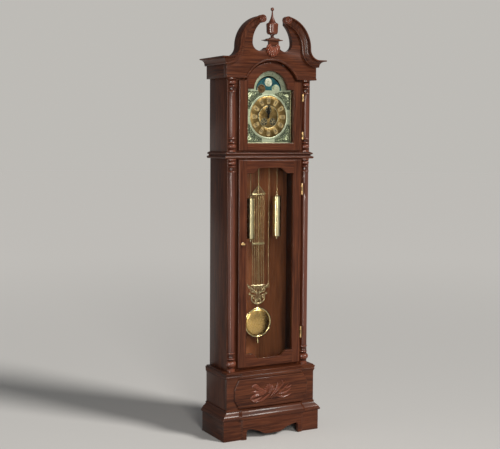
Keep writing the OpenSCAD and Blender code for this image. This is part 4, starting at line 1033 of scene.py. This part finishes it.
bm = bmesh.new()
lunar = (0, dial_arch_z)
flat_marks(
    bm, [tick(-78 + 156 * i / 59, 0.0715, 0.0745 if i % 2 else 0.0770, 0.0006, lunar) for i in range(60)],
    plate_y
)
for turn, width in ((0, 0.0022), (2.4, 0.0008)):
    flat_marks(
        bm, [tick(-72 + 144 * i / 5 + turn, 0.0800, 0.0860, width, lunar) for i in range(6)], plate_y
    )
bmesh.ops.recalc_face_normals(bm, faces=bm.faces)
finished("lunar_marks", bm, "case", [ink_finish])

border_brass = brass("border_brass", (0.86, 0.72, 0.42), (0.42, 0.32, 0.15), 0.2, (900, 900, 60))


def hoop(bm, outer, inner, y, rise, middle, steps=96):
    """A flat raised ring with eased edges."""
    outline = [
        (inner, 0), (inner, rise * 0.7), (inner + rise * 0.4, rise), (outer - rise * 0.4, rise),
        (outer, rise * 0.7), (outer, 0)
    ]
    turned(bm, outline, facing(middle[0], y, middle[1]), steps)


bm = bmesh.new()
half_plate = 0.1255
strip = 0.0042
strip_top = dial_arch_z + 0.004
for low, high in (
    ((-half_plate, dial_low.z + 0.0005), (half_plate, dial_low.z + strip)),
    ((half_plate - strip, dial_low.z + strip), (half_plate, strip_top)),
    ((-half_plate, dial_low.z + strip), (-half_plate + strip, strip_top)),
):
    flat_marks(bm, [[low, (high[0], low[1]), high, (low[0], high[1])]], plate_y, 0.0012)
bmesh.ops.recalc_face_normals(bm, faces=bm.faces)
ease_edges(bm, 0.0004, 2)
finished("dial_border", bm, "case", [border_brass])

globe_finishes = []
for name, land, sea in (
    ("gilt_globe", (0.085, 0.045, 0.022), (0.22, 0.13, 0.055)),
    ("silver_globe", (0.36, 0.42, 0.28), (0.66, 0.72, 0.54)),
):
    finish, shader, place = new_finish(name)
    coast = place.speckle(62.0, 5.0, 0.62)
    engraved = place.stretched((60, 60, 700)).speckle(1.0, 1.0, 0.4)
    body = coast.above(0.52, 0.025).blend([*sea, 1.0], [*land, 1.0])
    lines = engraved.above(0.6, 0.06) * 0.3
    feed(
        shader, Base_Color=lines.blend(body, [0.06, 0.05, 0.03, 1.0]), Metallic=0.7,
        Roughness=0.3 + coast * 0.2, Normal=bumped(coast.above(0.52, 0.03), 0.5, 0.0003),
    )
    globe_finishes.append(finish)
hump_x, hump_z, hump_radius = 0.039, arch_z + 0.021, 0.0205
for side, finish in ((-1, globe_finishes[0]), (1, globe_finishes[1])):
    bm = bmesh.new()
    dome = [
        (hump_radius, 0), (hump_radius, 0.0005), (hump_radius - 0.001, 0.0010),
        (hump_radius - 0.0022, 0.0008)
    ]
    dome += [((hump_radius - 0.003) * (1 - i / 6), 0.0008 + 0.0008 * sin(pi / 2 * i / 6)) for i in range(7)]
    turned(bm, dome, facing(side * hump_x, plate_y, hump_z), 48)
    finished("globe_" + side_names[side], bm, "case", [finish], 60.0)


# ---- Moon disc ----
# An enamelled disc behind the arch turns once in two lunar months. It carries two cratered
# moons among gilt stars on a teal night sky.
sky_low, sky_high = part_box("moon_disc")
moon_z = (sky_low.z + sky_high.z) / 2
sky_finish, shader, place = new_finish("night_enamel")
drift = place.speckle(34.0, 4.0, 0.6)
body = drift.above(0.5, 0.2).blend([0.004, 0.050, 0.075, 1.0], [0.012, 0.125, 0.150, 1.0])
stars = place.add("TexVoronoi", {"Vector": place, "Scale": 170.0, "Randomness": 1.0}, feature="F1")
star_mask = 1.0 - stars.above(0.11, 0.035)
feed(
    shader, Base_Color=star_mask.blend(body, [0.75, 0.60, 0.25, 1.0]), Roughness=0.22 + drift * 0.2,
    Metallic=star_mask * 0.8, Coat_Weight=0.6, Normal=bumped(drift, 0.1, 0.0002),
)
dress(sky_finish, "moon_disc")
moon_finish, shader, place = new_finish("silver_moon")
seas = place.speckle(70.0, 4.0, 0.6, 0.5)
craters = place.add("TexVoronoi", {"Vector": place, "Scale": 260.0, "Randomness": 1.0}, feature="F1")
body = seas.above(0.53, 0.05).blend([0.80, 0.82, 0.68, 1.0], [0.42, 0.46, 0.34, 1.0])
pits = (1.0 - craters.above(0.3, 0.1)) * 0.4
feed(
    shader, Base_Color=pits.blend(body, [0.30, 0.32, 0.24, 1.0]), Metallic=0.35,
    Roughness=0.34 + seas * 0.2, Normal=bumped(craters, 0.4, 0.0004),
)
for place_name, orbit in (("shown", 0.044), ("hidden", -0.044)):
    bm = bmesh.new()
    dome = [(0.0198, 0), (0.0198, 0.0001)] + [
        (0.0196 * (1 - i / 6), 0.0002 + 0.0005 * sin(pi / 2 * i / 6)) for i in range(7)
    ]
    turned(bm, dome, facing(0, sky_low.y, moon_z + orbit), 48)
    finished("moon_" + place_name, bm, "moon_disc", [moon_finish], 60.0)


# ---- Chapter ring ----
# A broad antiqued ring with twelve gilt cartouches for the hours, inside a silvered minute
# ring. Both are spun in the lathe, so their grain runs round the centre.
def spun_brass(name, colour, dark, metallic, roughness, centre, rings=2600.0, groove_depth=0.0006):
    """Metal finished in the lathe: grooves round a centre, read by their distance from it."""
    finish, shader, place = new_finish(name)
    centred = place.stretched((1, 0, 1), location=(-centre[0], 0, -centre[1]))
    length = place.add("VectorMath", {0: centred}, outlet="Value", operation="LENGTH")
    grooves = place.add("CombineXYZ", {"X": length * rings}).speckle(1.0, 3.0, 0.7)
    clouds = place.speckle(32.0, 3.0, 0.6)
    body = (grooves * 0.6 + clouds * 0.5).above(0.55, 0.22).blend([*dark, 1.0], [*colour, 1.0])
    feed(
        shader, Base_Color=body, Metallic=metallic, Roughness=roughness + clouds * 0.14,
        Coat_Weight=0.3 * clouds,
        Normal=bumped(grooves, 1.0, groove_depth),
    )
    return finish


centre = (0.0, centre_z)
antique = spun_brass("antiqued_ring", (0.42, 0.28, 0.105), (0.120, 0.070, 0.022), 0.92, 0.24, centre)
pale_ring = spun_brass("silvered_ring", (0.80, 0.86, 0.66), (0.50, 0.56, 0.40), 0.8, 0.26, centre)
ring_y = ring_high.y
bm = bmesh.new()
hoop(bm, 0.0990, 0.0530, ring_y, 0.0010, centre)
chapter_band = finished("chapter_band", bm, "case", [antique], 50.0)
bm = bmesh.new()
hoop(bm, 0.1070, 0.0990, ring_y, 0.0012, centre)
hoop(bm, 0.0534, 0.0522, ring_y, 0.0012, centre)
finished("minute_band", bm, "case", [pale_ring], 50.0)
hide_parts("chapter_ring")

bm = bmesh.new()
for i in range(60):
    outer, width = (0.1034, 0.0006) if i % 5 else (0.1050, 0.0018)
    flat_marks(bm, [tick(i * 6, 0.1004, outer, width, centre)], ring_y - 0.0012)
bmesh.ops.recalc_face_normals(bm, faces=bm.faces)
finished("minute_marks", bm, "case", [ink_finish])

gilt = brass("gilt_cartouche", (0.80, 0.60, 0.30), (0.48, 0.33, 0.14), 0.38, (700, 700, 700), 0.3, 0.5)
half_tablet = [
    (0, 0.0598), (0.0068, 0.0610), (0.0090, 0.0690), (0.0102, 0.0850), (0.0082, 0.0912), (0, 0.0934)
]
tablet = [(-0.0068, 0.0610)] + half_tablet + [(-0.0082, 0.0912), (-0.0102, 0.0850), (-0.0090, 0.0690)]
bm = bmesh.new()
for hour in range(12):
    a = radians(30 * hour)
    way, side = Vector((sin(a), cos(a))), Vector((cos(a), -sin(a)))
    middle = Vector(centre)
    flat_marks(bm, [[middle + way * v + side * u for u, v in tablet]], ring_y - 0.0010, 0.0007)
bmesh.ops.recalc_face_normals(bm, faces=bm.faces)
ease_edges(bm, 0.0002, 1)
finished("hour_cartouches", bm, "case", [gilt], 40.0)

numeral_height, numeral_width, numeral_r = 0.0215, 0.0158, 0.0765
hours = ("XII", "I", "II", "III", "IIII", "V", "VI", "VII", "VIII", "IX", "X", "XI")
bm = bmesh.new()
for hour, letters in enumerate(hours):
    curve = bpy.data.curves.new("numeral", "FONT")
    curve.body = letters
    curve.size = numeral_height
    curve.align_x = "CENTER"
    curve.align_y = "CENTER"
    curve.extrude = 0.0001
    curve.offset = 0.00035
    holder = bpy.data.objects.new("numeral", curve)
    letter_mesh = holder.to_mesh()
    a = radians(30 * hour)
    squeeze = min(1.0, numeral_width / max(v.co.x * 2 for v in letter_mesh.vertices))
    letter_mesh.transform(
        Matrix.Translation((numeral_r * sin(a), ring_y - 0.0018, centre_z + numeral_r * cos(a)))
        @ Matrix.Rotation(a, 4, "Y") @ Matrix.Rotation(pi / 2, 4, "X") @ Matrix.Diagonal((squeeze, 1, 1, 1))
    )
    bm.from_mesh(letter_mesh)
    holder.to_mesh_clear()
    bpy.data.objects.remove(holder)
    bpy.data.curves.remove(curve)
bmesh.ops.remove_doubles(bm, verts=bm.verts, dist=0.000002)
bmesh.ops.recalc_face_normals(bm, faces=bm.faces)
finished("hour_numerals", bm, "case", [ink_finish])


# ---- Dial centre and corners ----
# Three engraved rounds fill the centre and filigree scrolls the four corners. They are cast
# in pale brass, with a dark ground showing between the scrolls.
ground, shader, place = new_finish("chased_ground")
tendril = place.speckle(210.0, 1.0, 0.4, 1.6)
raised = 1.0 - (tendril - 0.5).math("ABSOLUTE", tendril - 0.5).above(0.032, 0.014)
stipple = place.speckle(1400.0, 2.0, 0.5)
feed(
    shader, Base_Color=raised.blend([0.008, 0.018, 0.011, 1.0], [0.72, 0.82, 0.54, 1.0]),
    Roughness=0.3 + stipple * 0.3, Metallic=0.3 + raised * 0.5,
    Normal=bumped(raised + stipple * 0.2, 0.6, 0.0004),
)
dark_ground, shader, place = new_finish("dark_ground")
stipple = place.speckle(900.0, 2.0, 0.5)
feed(
    shader,
    Base_Color=stipple.above(0.5, 0.2).blend([0.012, 0.014, 0.009, 1.0], [0.060, 0.055, 0.034, 1.0]),
    Roughness=0.4 + stipple * 0.3, Metallic=0.3, Normal=bumped(stipple, 0.4, 0.0002),
)
bm = bmesh.new()
hoop(bm, 0.0525, 0.0, plate_y, 0.0002, centre)
finished("centre_field", bm, "case", [antique], 50.0)
bm = bmesh.new()
round_places = []
for angle in (0, 135, 225):
    a = radians(angle)
    round_places.append((0.0335 * sin(a), centre_z + 0.0335 * cos(a)))
for x, z in round_places:
    hoop(bm, 0.0175, 0.0, plate_y, 0.0006, (x, z), 40)
finished("centre_ground", bm, "case", [dark_ground], 50.0)
scroll_section = [(-1, -0.1), (-0.8, 0.6), (0, 1.0), (0.8, 0.6), (1, -0.1)]
filigree = brass("pale_filigree", (0.86, 0.92, 0.66), (0.40, 0.46, 0.28), 0.22, (900, 900, 900), 0.3, 0.5)
warm_filigree = brass(
    "warm_filigree", (0.55, 0.44, 0.24), (0.16, 0.12, 0.06), 0.26, (900, 900, 900), 0.3, 0.5
)


def curl(start, heading, reach, turn):
    """Control points of a scroll that leaves a point and curls over to one side."""
    a = radians(heading)
    way, side = Vector((cos(a), sin(a))), Vector((-sin(a), cos(a))) * turn
    start = Vector(start)
    shoulder, tip = way * reach * 1.1 + side * reach * 0.5, way * reach * 0.5 + side * reach * 0.75
    return (start, start + way * reach * 0.7, start + shoulder, start + tip)


bm = bmesh.new()
for x, z in round_places:
    for i in range(10):
        start = (x + 0.003 * cos(0.628 * i), z + 0.003 * sin(0.628 * i))
        points = curl(start, 36 * i, 0.0105, 1 if i % 2 else -1)
        carved_leaf(bm, points, 0.0011, 0.0008, plate_y - 0.0004, scroll_section, 7, 0.5)
    hoop(bm, 0.0175, 0.0165, plate_y, 0.0010, (x, z), 40)
    hoop(bm, 0.0030, 0.0, plate_y, 0.0012, (x, z), 16)
finished("centre_scrolls", bm, "case", [warm_filigree], 60.0)

corner_low, corner_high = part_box("dial_spandrels")
bm = sawn_boards("dial_spandrels")
bmesh.ops.scale(bm, vec=(1, 0.2, 1), space=Matrix.Translation((0, -corner_high.y, 0)), verts=bm.verts)
corner_ground = finished("corner_ground", bm, "case", [ground])
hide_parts("dial_spandrels")
bm = bmesh.new()
corner = [((0.002, 0.002), 45, 0.020), ((0.010, 0.004), 8, 0.017), ((0.004, 0.010), 82, 0.017)]
corner += [((0.026, 0.003), 20, 0.014), ((0.003, 0.026), 70, 0.014), ((0.040, 0.003), 12, 0.011)]
corner += [((0.003, 0.040), 78, 0.011), ((0.052, 0.002), 8, 0.010), ((0.002, 0.052), 82, 0.010)]
corner += [((0.012, 0.012), 20, 0.013), ((0.012, 0.012), 70, 0.013), ((0.022, 0.010), 60, 0.009)]
corner += [((0.010, 0.022), 30, 0.009)]
corner_half, scroll_edge, ring_clear = 0.117, 0.1205, 0.1086
for sx in (-1, 1):
    for sz in (-1, 1):
        bx, bz = sx * corner_half, centre_z + sz * corner_half
        for start, heading, reach in corner:
            for turn in (1, -1):
                points = [Vector((bx - sx * p.x, bz - sz * p.y)) for p in curl(start, heading, reach, turn)]
                reaches = [(abs(p.x), abs(p.y - centre_z)) for p in points]
                if all(math.hypot(u, v) > ring_clear and max(u, v) < scroll_edge for u, v in reaches):
                    carved_leaf(bm, points, 0.0021, 0.0016, corner_high.y - 0.0002, scroll_section, 8, 0.5)
finished("corner_scrolls", bm, "case", [filigree], 60.0)


# ---- Hands ----
# Pierced steel hands, blackened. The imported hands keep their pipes; cast scrolls are riveted
# on each side of their loops.
black_finish, shader, place = new_finish("blackened_steel")
scale_marks = place.speckle(300.0, 3.0, 0.6)
feed(
    shader,
    Base_Color=scale_marks.above(0.55, 0.15).blend([0.008, 0.008, 0.009, 1.0], [0.035, 0.034, 0.034, 1.0]),
    Metallic=0.6, Roughness=0.25 + scale_marks * 0.25, Coat_Weight=0.4,
    Normal=bumped(scale_marks, 0.2, 0.0001),
)
dress(black_finish, "minute_hand", "hour_hand")
for node, body_name, levels, reach, back in (
    ("minute_hand", "minute_arbor", (0.012, 0.020, 0.034, 0.044), 0.0085, 0.0023),
    ("hour_hand", "hour_pipe", (0.010, 0.016, 0.026, 0.034), 0.0105, 0.0008),
):
    low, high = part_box(node)
    bm = bmesh.new()
    face = low.y + back
    for level in levels:
        for side in (1, -1):
            points = [Vector((side * p.x, p.y)) for p in curl((0.0004, centre_z + level), 28, reach, 1)]
            carved_leaf(bm, points, 0.0011, 0.0006, face, scroll_section, 8, 0.45)
    finished(node + "_scrolls", bm, body_name, [black_finish], 60.0)


# ---- Movement ----
# Plates, wheels and sprockets are cut from sheet brass, the anchor is ground steel, and four
# bronze gong rods hang from a cast block.
movement_brass = brass("movement_brass", (0.78, 0.60, 0.28), (0.38, 0.26, 0.10), 0.24, (60, 900, 900))
dress(
    movement_brass, "movement_frame", "centre_wheel", "minute_wheel", "second_wheel", "time_great_wheel",
    "third_wheel", "escape_wheel", "time_sprocket", "strike_sprocket", "strike_great_wheel"
)
steel_finish, shader, place = new_finish("ground_steel")
grinding = place.stretched((90, 90, 1500)).speckle(1.0, 2.0, 0.6)
feed(
    shader, Base_Color=grinding.blend([0.36, 0.37, 0.39, 1.0], [0.62, 0.63, 0.65, 1.0]), Metallic=1.0,
    Roughness=0.22 + grinding * 0.2, Normal=bumped(grinding, 0.2, 0.0001),
)
dress(steel_finish, "anchor")
gong_bronze = brass("gong_bronze", (0.50, 0.36, 0.19), (0.14, 0.09, 0.05), 0.3, (700, 700, 40), 0.1, 0.6)
dress(gong_bronze, "gong_rods", "strike_hammer")


# ---- Pendulum ----
# A harp of seven thin brass rods between a pierced crest and a scrolled bracket, with a
# studded bar across. The bob is a domed shell spun from sheet, with a narrow polished rim.
rod_brass = brass("rod_brass", (0.80, 0.64, 0.34), (0.40, 0.28, 0.12), 0.2, (600, 600, 30))
cast_brass = brass("cast_brass", (0.74, 0.62, 0.36), (0.24, 0.18, 0.08), 0.22, (500, 500, 500), 0.4, 0.55)
polished = brass("polished_brass", (0.90, 0.74, 0.40), (0.62, 0.46, 0.20), 0.10, (500, 500, 500), 0.6, 0.25)
dress(rod_brass, "pendulum_rods")
dress(polished, "rating_nut")


def cast_strip(bm, points, width, rise, y, section=scroll_section):
    """A cast strip of even width along points of (x, z), thinned a little at both ends."""
    ways = []
    last = len(points) - 1
    for i, point in enumerate(points):
        heading = (points[min(i + 1, last)] - points[max(i - 1, 0)]).normalized()
        share = 0.45 if i in (0, last) else 1.0
        across = Vector((-heading.y, 0, heading.x)) * width * share
        outward = Vector((0, -1, 0)) * rise * (0.6 + 0.4 * share)
        third = across.cross(outward).normalized()
        turned_in = Matrix((across, outward, third)).transposed().to_4x4()
        ways.append(Matrix.Translation((point.x, y, point.y)) @ turned_in)
    sweep(bm, section, ways)


def spiral(x, z, start_radius, end_radius, start, end, count=18):
    """Points of a scroll that winds about a centre, angles in degrees."""
    points = []
    for i in range(count + 1):
        t = i / count
        a, r = radians(start + (end - start) * t), start_radius + (end_radius - start_radius) * t
        points.append(Vector((x + r * cos(a), z + r * sin(a))))
    return points


ornament_low, ornament_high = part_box("pendulum_ornaments")
cast_y, cast_rise = ornament_high.y, ornament_high.y - ornament_low.y
crest_z = ornament_high.z - 0.044
bracket_z = ornament_low.z
bm = bmesh.new()
crest_arm = ((0.037, 0.003), (0.026, 0.014), (0.012, 0.030), (0.002, 0.042))
crest_scrolls = (
    (0.016, 0.010, 0.0075, 0.0015, 200, -160, 18, 0.0012),
    (0.0055, 0.020, 0.0055, 0.0012, 250, -110, 18, 0.0011),
    (0.027, 0.0065, 0.0040, 0.0010, 180, -180, 12, 0.0010),
)
bracket_scrolls = (
    (0.026, 0.034, 0.0150, 0.0030, 250, -190), (0.032, 0.072, 0.0165, 0.0030, 100, 560),
    (0.0105, 0.058, 0.0080, 0.0015, 270, -150), (0.013, 0.018, 0.0080, 0.0015, 90, 500),
    (0.046, 0.050, 0.0070, 0.0012, 230, -180), (0.014, 0.086, 0.0075, 0.0015, 270, 660),
    (0.048, 0.086, 0.0065, 0.0012, 240, 600),
)
bracket_arms = (
    (((0.003, 0.004), (0.034, 0.004), (0.046, 0.030), (0.030, 0.052)), 0.0026),
    (((0.020, 0.052), (0.030, 0.100), (0.050, 0.072), (0.060, 0.102)), 0.0028),
    (((0.002, 0.020), (0.010, 0.044), (0.002, 0.070), (0.010, 0.098)), 0.0022),
)
for side in (1, -1):
    def cast_pair(points, width):
        """One casting of the pair on this side."""
        cast_strip(bm, [Vector((side * p.x, p.y)) for p in points], width, cast_rise, cast_y)

    cast_pair(curve_points([(u, crest_z + v) for u, v in crest_arm], 12), 0.0026)
    for u, v, radius, inner, start, end, count, width in crest_scrolls:
        cast_pair(spiral(u, crest_z + v, radius, inner, start, end, count), width)
    for u, v, radius, inner, start, end in bracket_scrolls:
        cast_pair(spiral(u, bracket_z + v, radius, inner, start, end, 22), 0.0021)
    for arm, width in bracket_arms:
        cast_pair(curve_points([(u, bracket_z + v) for u, v in arm], 14), width)
    for u, v in ((0.060, 0.100), (0.026, 0.034), (0.032, 0.072), (0.046, 0.050)):
        bead = bmesh.ops.create_icosphere(bm, subdivisions=2, radius=0.0032)["verts"]
        bmesh.ops.transform(
            bm, matrix=Matrix.Translation((side * u, cast_y - 0.0002, bracket_z + v)), verts=bead
        )
bars = (
    (crest_z + 0.001, 0.038, 0.0026), (bracket_z + 0.0925, 0.040, 0.0022), (bracket_z + 0.003, 0.020, 0.003)
)
for z, half, width in bars:
    cast_strip(bm, [Vector((-half + 2 * half * i / 8, z)) for i in range(9)], width, cast_rise, cast_y)
bar_z = crest_z - 0.246 + 0.0055
flat_bar = [(-1, 0), (-1, 0.8), (-0.9, 1), (0.9, 1), (1, 0.8), (1, 0)]
bar_line = [Vector((-0.036 + 0.072 * i / 8, bar_z)) for i in range(9)]
cast_strip(bm, bar_line, 0.0055, cast_rise * 0.7, cast_y, flat_bar)
for i in range(8):
    stud = bmesh.ops.create_icosphere(bm, subdivisions=2, radius=0.0034)["verts"]
    at = Matrix.Translation((-0.0315 + 0.009 * i, cast_y - 0.0008, bar_z)) @ Matrix.Diagonal((1, 0.5, 1, 1))
    bmesh.ops.transform(bm, matrix=at, verts=stud)
crest_tip = bmesh.ops.create_icosphere(bm, subdivisions=2, radius=0.0042)["verts"]
at = Matrix.Translation((0, cast_y - 0.0004, crest_z + 0.0405)) @ Matrix.Diagonal((1, 0.5, 1, 1))
bmesh.ops.transform(bm, matrix=at, verts=crest_tip)
harp_castings = finished("harp_castings", bm, "pendulum", [cast_brass], 60.0)
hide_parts("pendulum_ornaments")

bob_low, bob_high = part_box("pendulum_bob")
bob_z, bob_y = (bob_low.z + bob_high.z) / 2, (bob_low.y + bob_high.y) / 2
bob_radius, bob_half = (bob_high.z - bob_low.z) / 2, (bob_high.y - bob_low.y) / 2
bob_face = spun_brass(
    "spun_bob_face", (1.0, 0.68, 0.27), (0.88, 0.54, 0.18), 1.0, 0.20, (0.0, bob_z), 1500.0, 0.00012
)
half_line = [(0, bob_half)]
half_line += [(bob_radius * 0.86 * i / 16, bob_half - 0.0092 * (i / 16) ** 2) for i in range(1, 17)]
half_line += [(bob_radius * 0.87, bob_half - 0.0102), (bob_radius * 0.88, bob_half - 0.0096)]
rim_middle, rim_half = bob_radius * 0.94, bob_radius * 0.058
rim_angles = [radians(a) for a in range(165, 14, -15)]
half_line += [(rim_middle + rim_half * cos(a), bob_half - 0.0108 + 0.0026 * sin(a)) for a in rim_angles]
half_line += [(bob_radius, 0.0010)]
bob_line = half_line + [(r, -h) for r, h in reversed(half_line)]
bm = bmesh.new()
turned(bm, bob_line, facing(0, bob_y, bob_z), 96)
for face in bm.faces:
    middle = face.calc_center_median()
    face.material_index = 0 if (middle.x ** 2 + (middle.z - bob_z) ** 2) ** 0.5 < bob_radius * 0.87 else 1
bob_shell = finished("bob_shell", bm, "pendulum", [bob_face, polished], 40.0)
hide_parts("pendulum_bob")


# ---- Weights ----
# Two brass shells filled with lead, each with turned caps, a nut below and a hook above.
weight_brass = brass("weight_brass", (0.92, 0.80, 0.50), (0.66, 0.52, 0.26), 0.14, (40, 40, 900), 0.6, 0.25)
for node in ("time_weight", "strike_weight"):
    low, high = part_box(node)
    x, y = (low.x + high.x) / 2, (low.y + high.y) / 2
    r = (high.x - low.x) / 2 - 0.001
    shell_low, shell_top = low.z + 0.016, high.z - 0.022
    line = [
        (0, low.z), (0.0036, low.z), (0.0042, low.z + 0.002), (0.0042, low.z + 0.009),
        (r - 0.005, low.z + 0.0102)
    ]
    line += [
        (r - 0.002, low.z + 0.0120), (r + 0.001, low.z + 0.0142), (r + 0.001, shell_low - 0.0004),
        (r, shell_low + 0.0006)
    ]
    line += [(r, shell_low + (shell_top - shell_low) * i / 4) for i in range(1, 4)]
    line += [
        (r, shell_top - 0.0006), (r + 0.001, shell_top + 0.0004), (r + 0.001, shell_top + 0.0022),
        (r - 0.002, shell_top + 0.0038)
    ]
    line += [
        (r - 0.006, shell_top + 0.0056), (0.0044, shell_top + 0.0066), (0.0034, shell_top + 0.0090),
        (0.0016, shell_top + 0.0104)
    ]
    line += [(0.0012, high.z - 0.0080), (0, high.z - 0.0078)]
    bm = bmesh.new()
    turned(bm, line, Matrix.Translation((x, y, 0)), 48)
    hook = spiral(x, high.z - 0.0042, 0.0038, 0.0038, 265, -60, 18)
    hook_section = [(-1, 0), (-0.7, 0.8), (0, 1.0), (0.7, 0.8), (1, 0), (0, -0.2)]
    cast_strip(bm, hook, 0.0010, 0.0020, y + 0.001, hook_section)
    shell = finished(node + "_shell", bm, node, [weight_brass], 40.0)
    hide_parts(node)


# ---- Chains ----
# Drawn brass wire links hang over the sprockets. A longer run is held in reserve by links
# that lie inside each other, and each link keeps its shape as its run grows or shrinks.
chain_brass = brass("chain_brass", (0.70, 0.56, 0.30), (0.26, 0.18, 0.08), 0.25, (900, 900, 900), 0.2, 0.5)
link_pitch = 0.0046
wire = 0.00052


def chain_link(bm):
    """One welded link: a wire spun into a ring, whose halves are drawn apart into a long loop."""
    ring = bmesh.ops.create_circle(bm, segments=5, radius=wire)["verts"]
    edges = list({e for v in ring for e in v.link_edges})
    bmesh.ops.translate(bm, vec=(0.00125, 0, 0), verts=ring)
    bmesh.ops.spin(
        bm, geom=ring + edges, cent=(0, 0, 0), axis=(0, 1, 0), angle=2 * pi, steps=8, use_merge=True
    )
    for v in bm.verts:
        if abs(v.co.z) > wire * 1.2:
            v.co.z += math.copysign(0.0014, v.co.z)


weight_reach, ring_reach = 0.6, 0.23
for node, body_name, low_reach in (
    ("time_chain", "time_weight", weight_reach), ("strike_chain", "strike_weight", weight_reach),
    ("time_free_chain", "time_chain_ring", ring_reach),
    ("strike_free_chain", "strike_chain_ring", ring_reach),
):
    low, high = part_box(node)
    x, y = (low.x + high.x) / 2, (low.y + high.y) / 2
    rest_length = high.z - low.z
    full_length = rest_length + low_reach
    count = int(full_length / link_pitch)
    bm = bmesh.new()
    share = bm.verts.layers.float.new("share")
    chain_link(bm)
    one = bm.verts[:] + bm.edges[:] + bm.faces[:]
    for number in range(count):
        stretched_at = (number + 0.5) * link_pitch
        steps = round(stretched_at * rest_length / full_length / link_pitch - 0.5)
        steps -= (steps - number) % 2
        steps = max(steps, number % 2)
        rest_at = (steps + 0.5) * link_pitch
        copied = bmesh.ops.duplicate(bm, geom=one)["geom"]
        verts = only_verts(copied)
        quarter = pi / 4 if number % 2 else -pi / 4
        thin = 1.0 - 0.04 * (number % 5)
        at = Matrix.Translation((x, y, high.z - rest_at))
        where = at @ Matrix.Rotation(quarter, 4, "Z") @ Matrix.Diagonal((thin, thin, 1.0, 1))
        bmesh.ops.transform(bm, matrix=where, verts=verts)
        for v in verts:
            v[share] = (stretched_at - rest_at) / low_reach
    bmesh.ops.delete(bm, geom=only_verts(one), context="VERTS")
    bmesh.ops.recalc_face_normals(bm, faces=bm.faces)
    mesh = bpy.data.meshes.new(node + "_links")
    bm.to_mesh(mesh)
    bm.free()
    mesh.materials.append(chain_brass)
    mesh.polygons.foreach_set("use_smooth", [True] * len(mesh.polygons))
    chain = bpy.data.objects.new(node + "_links", mesh)
    scene.collection.objects.link(chain)
    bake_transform(chain, "case", body_name, (x, y, high.z), (x, y, low.z))
    shares = [item.value for item in mesh.attributes["share"].data]
    mesh.attributes["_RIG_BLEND"].data.foreach_set("value", shares)
    mesh.attributes.remove(mesh.attributes["share"])
    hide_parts(node)
dress(chain_brass, "time_chain_ring", "strike_chain_ring")
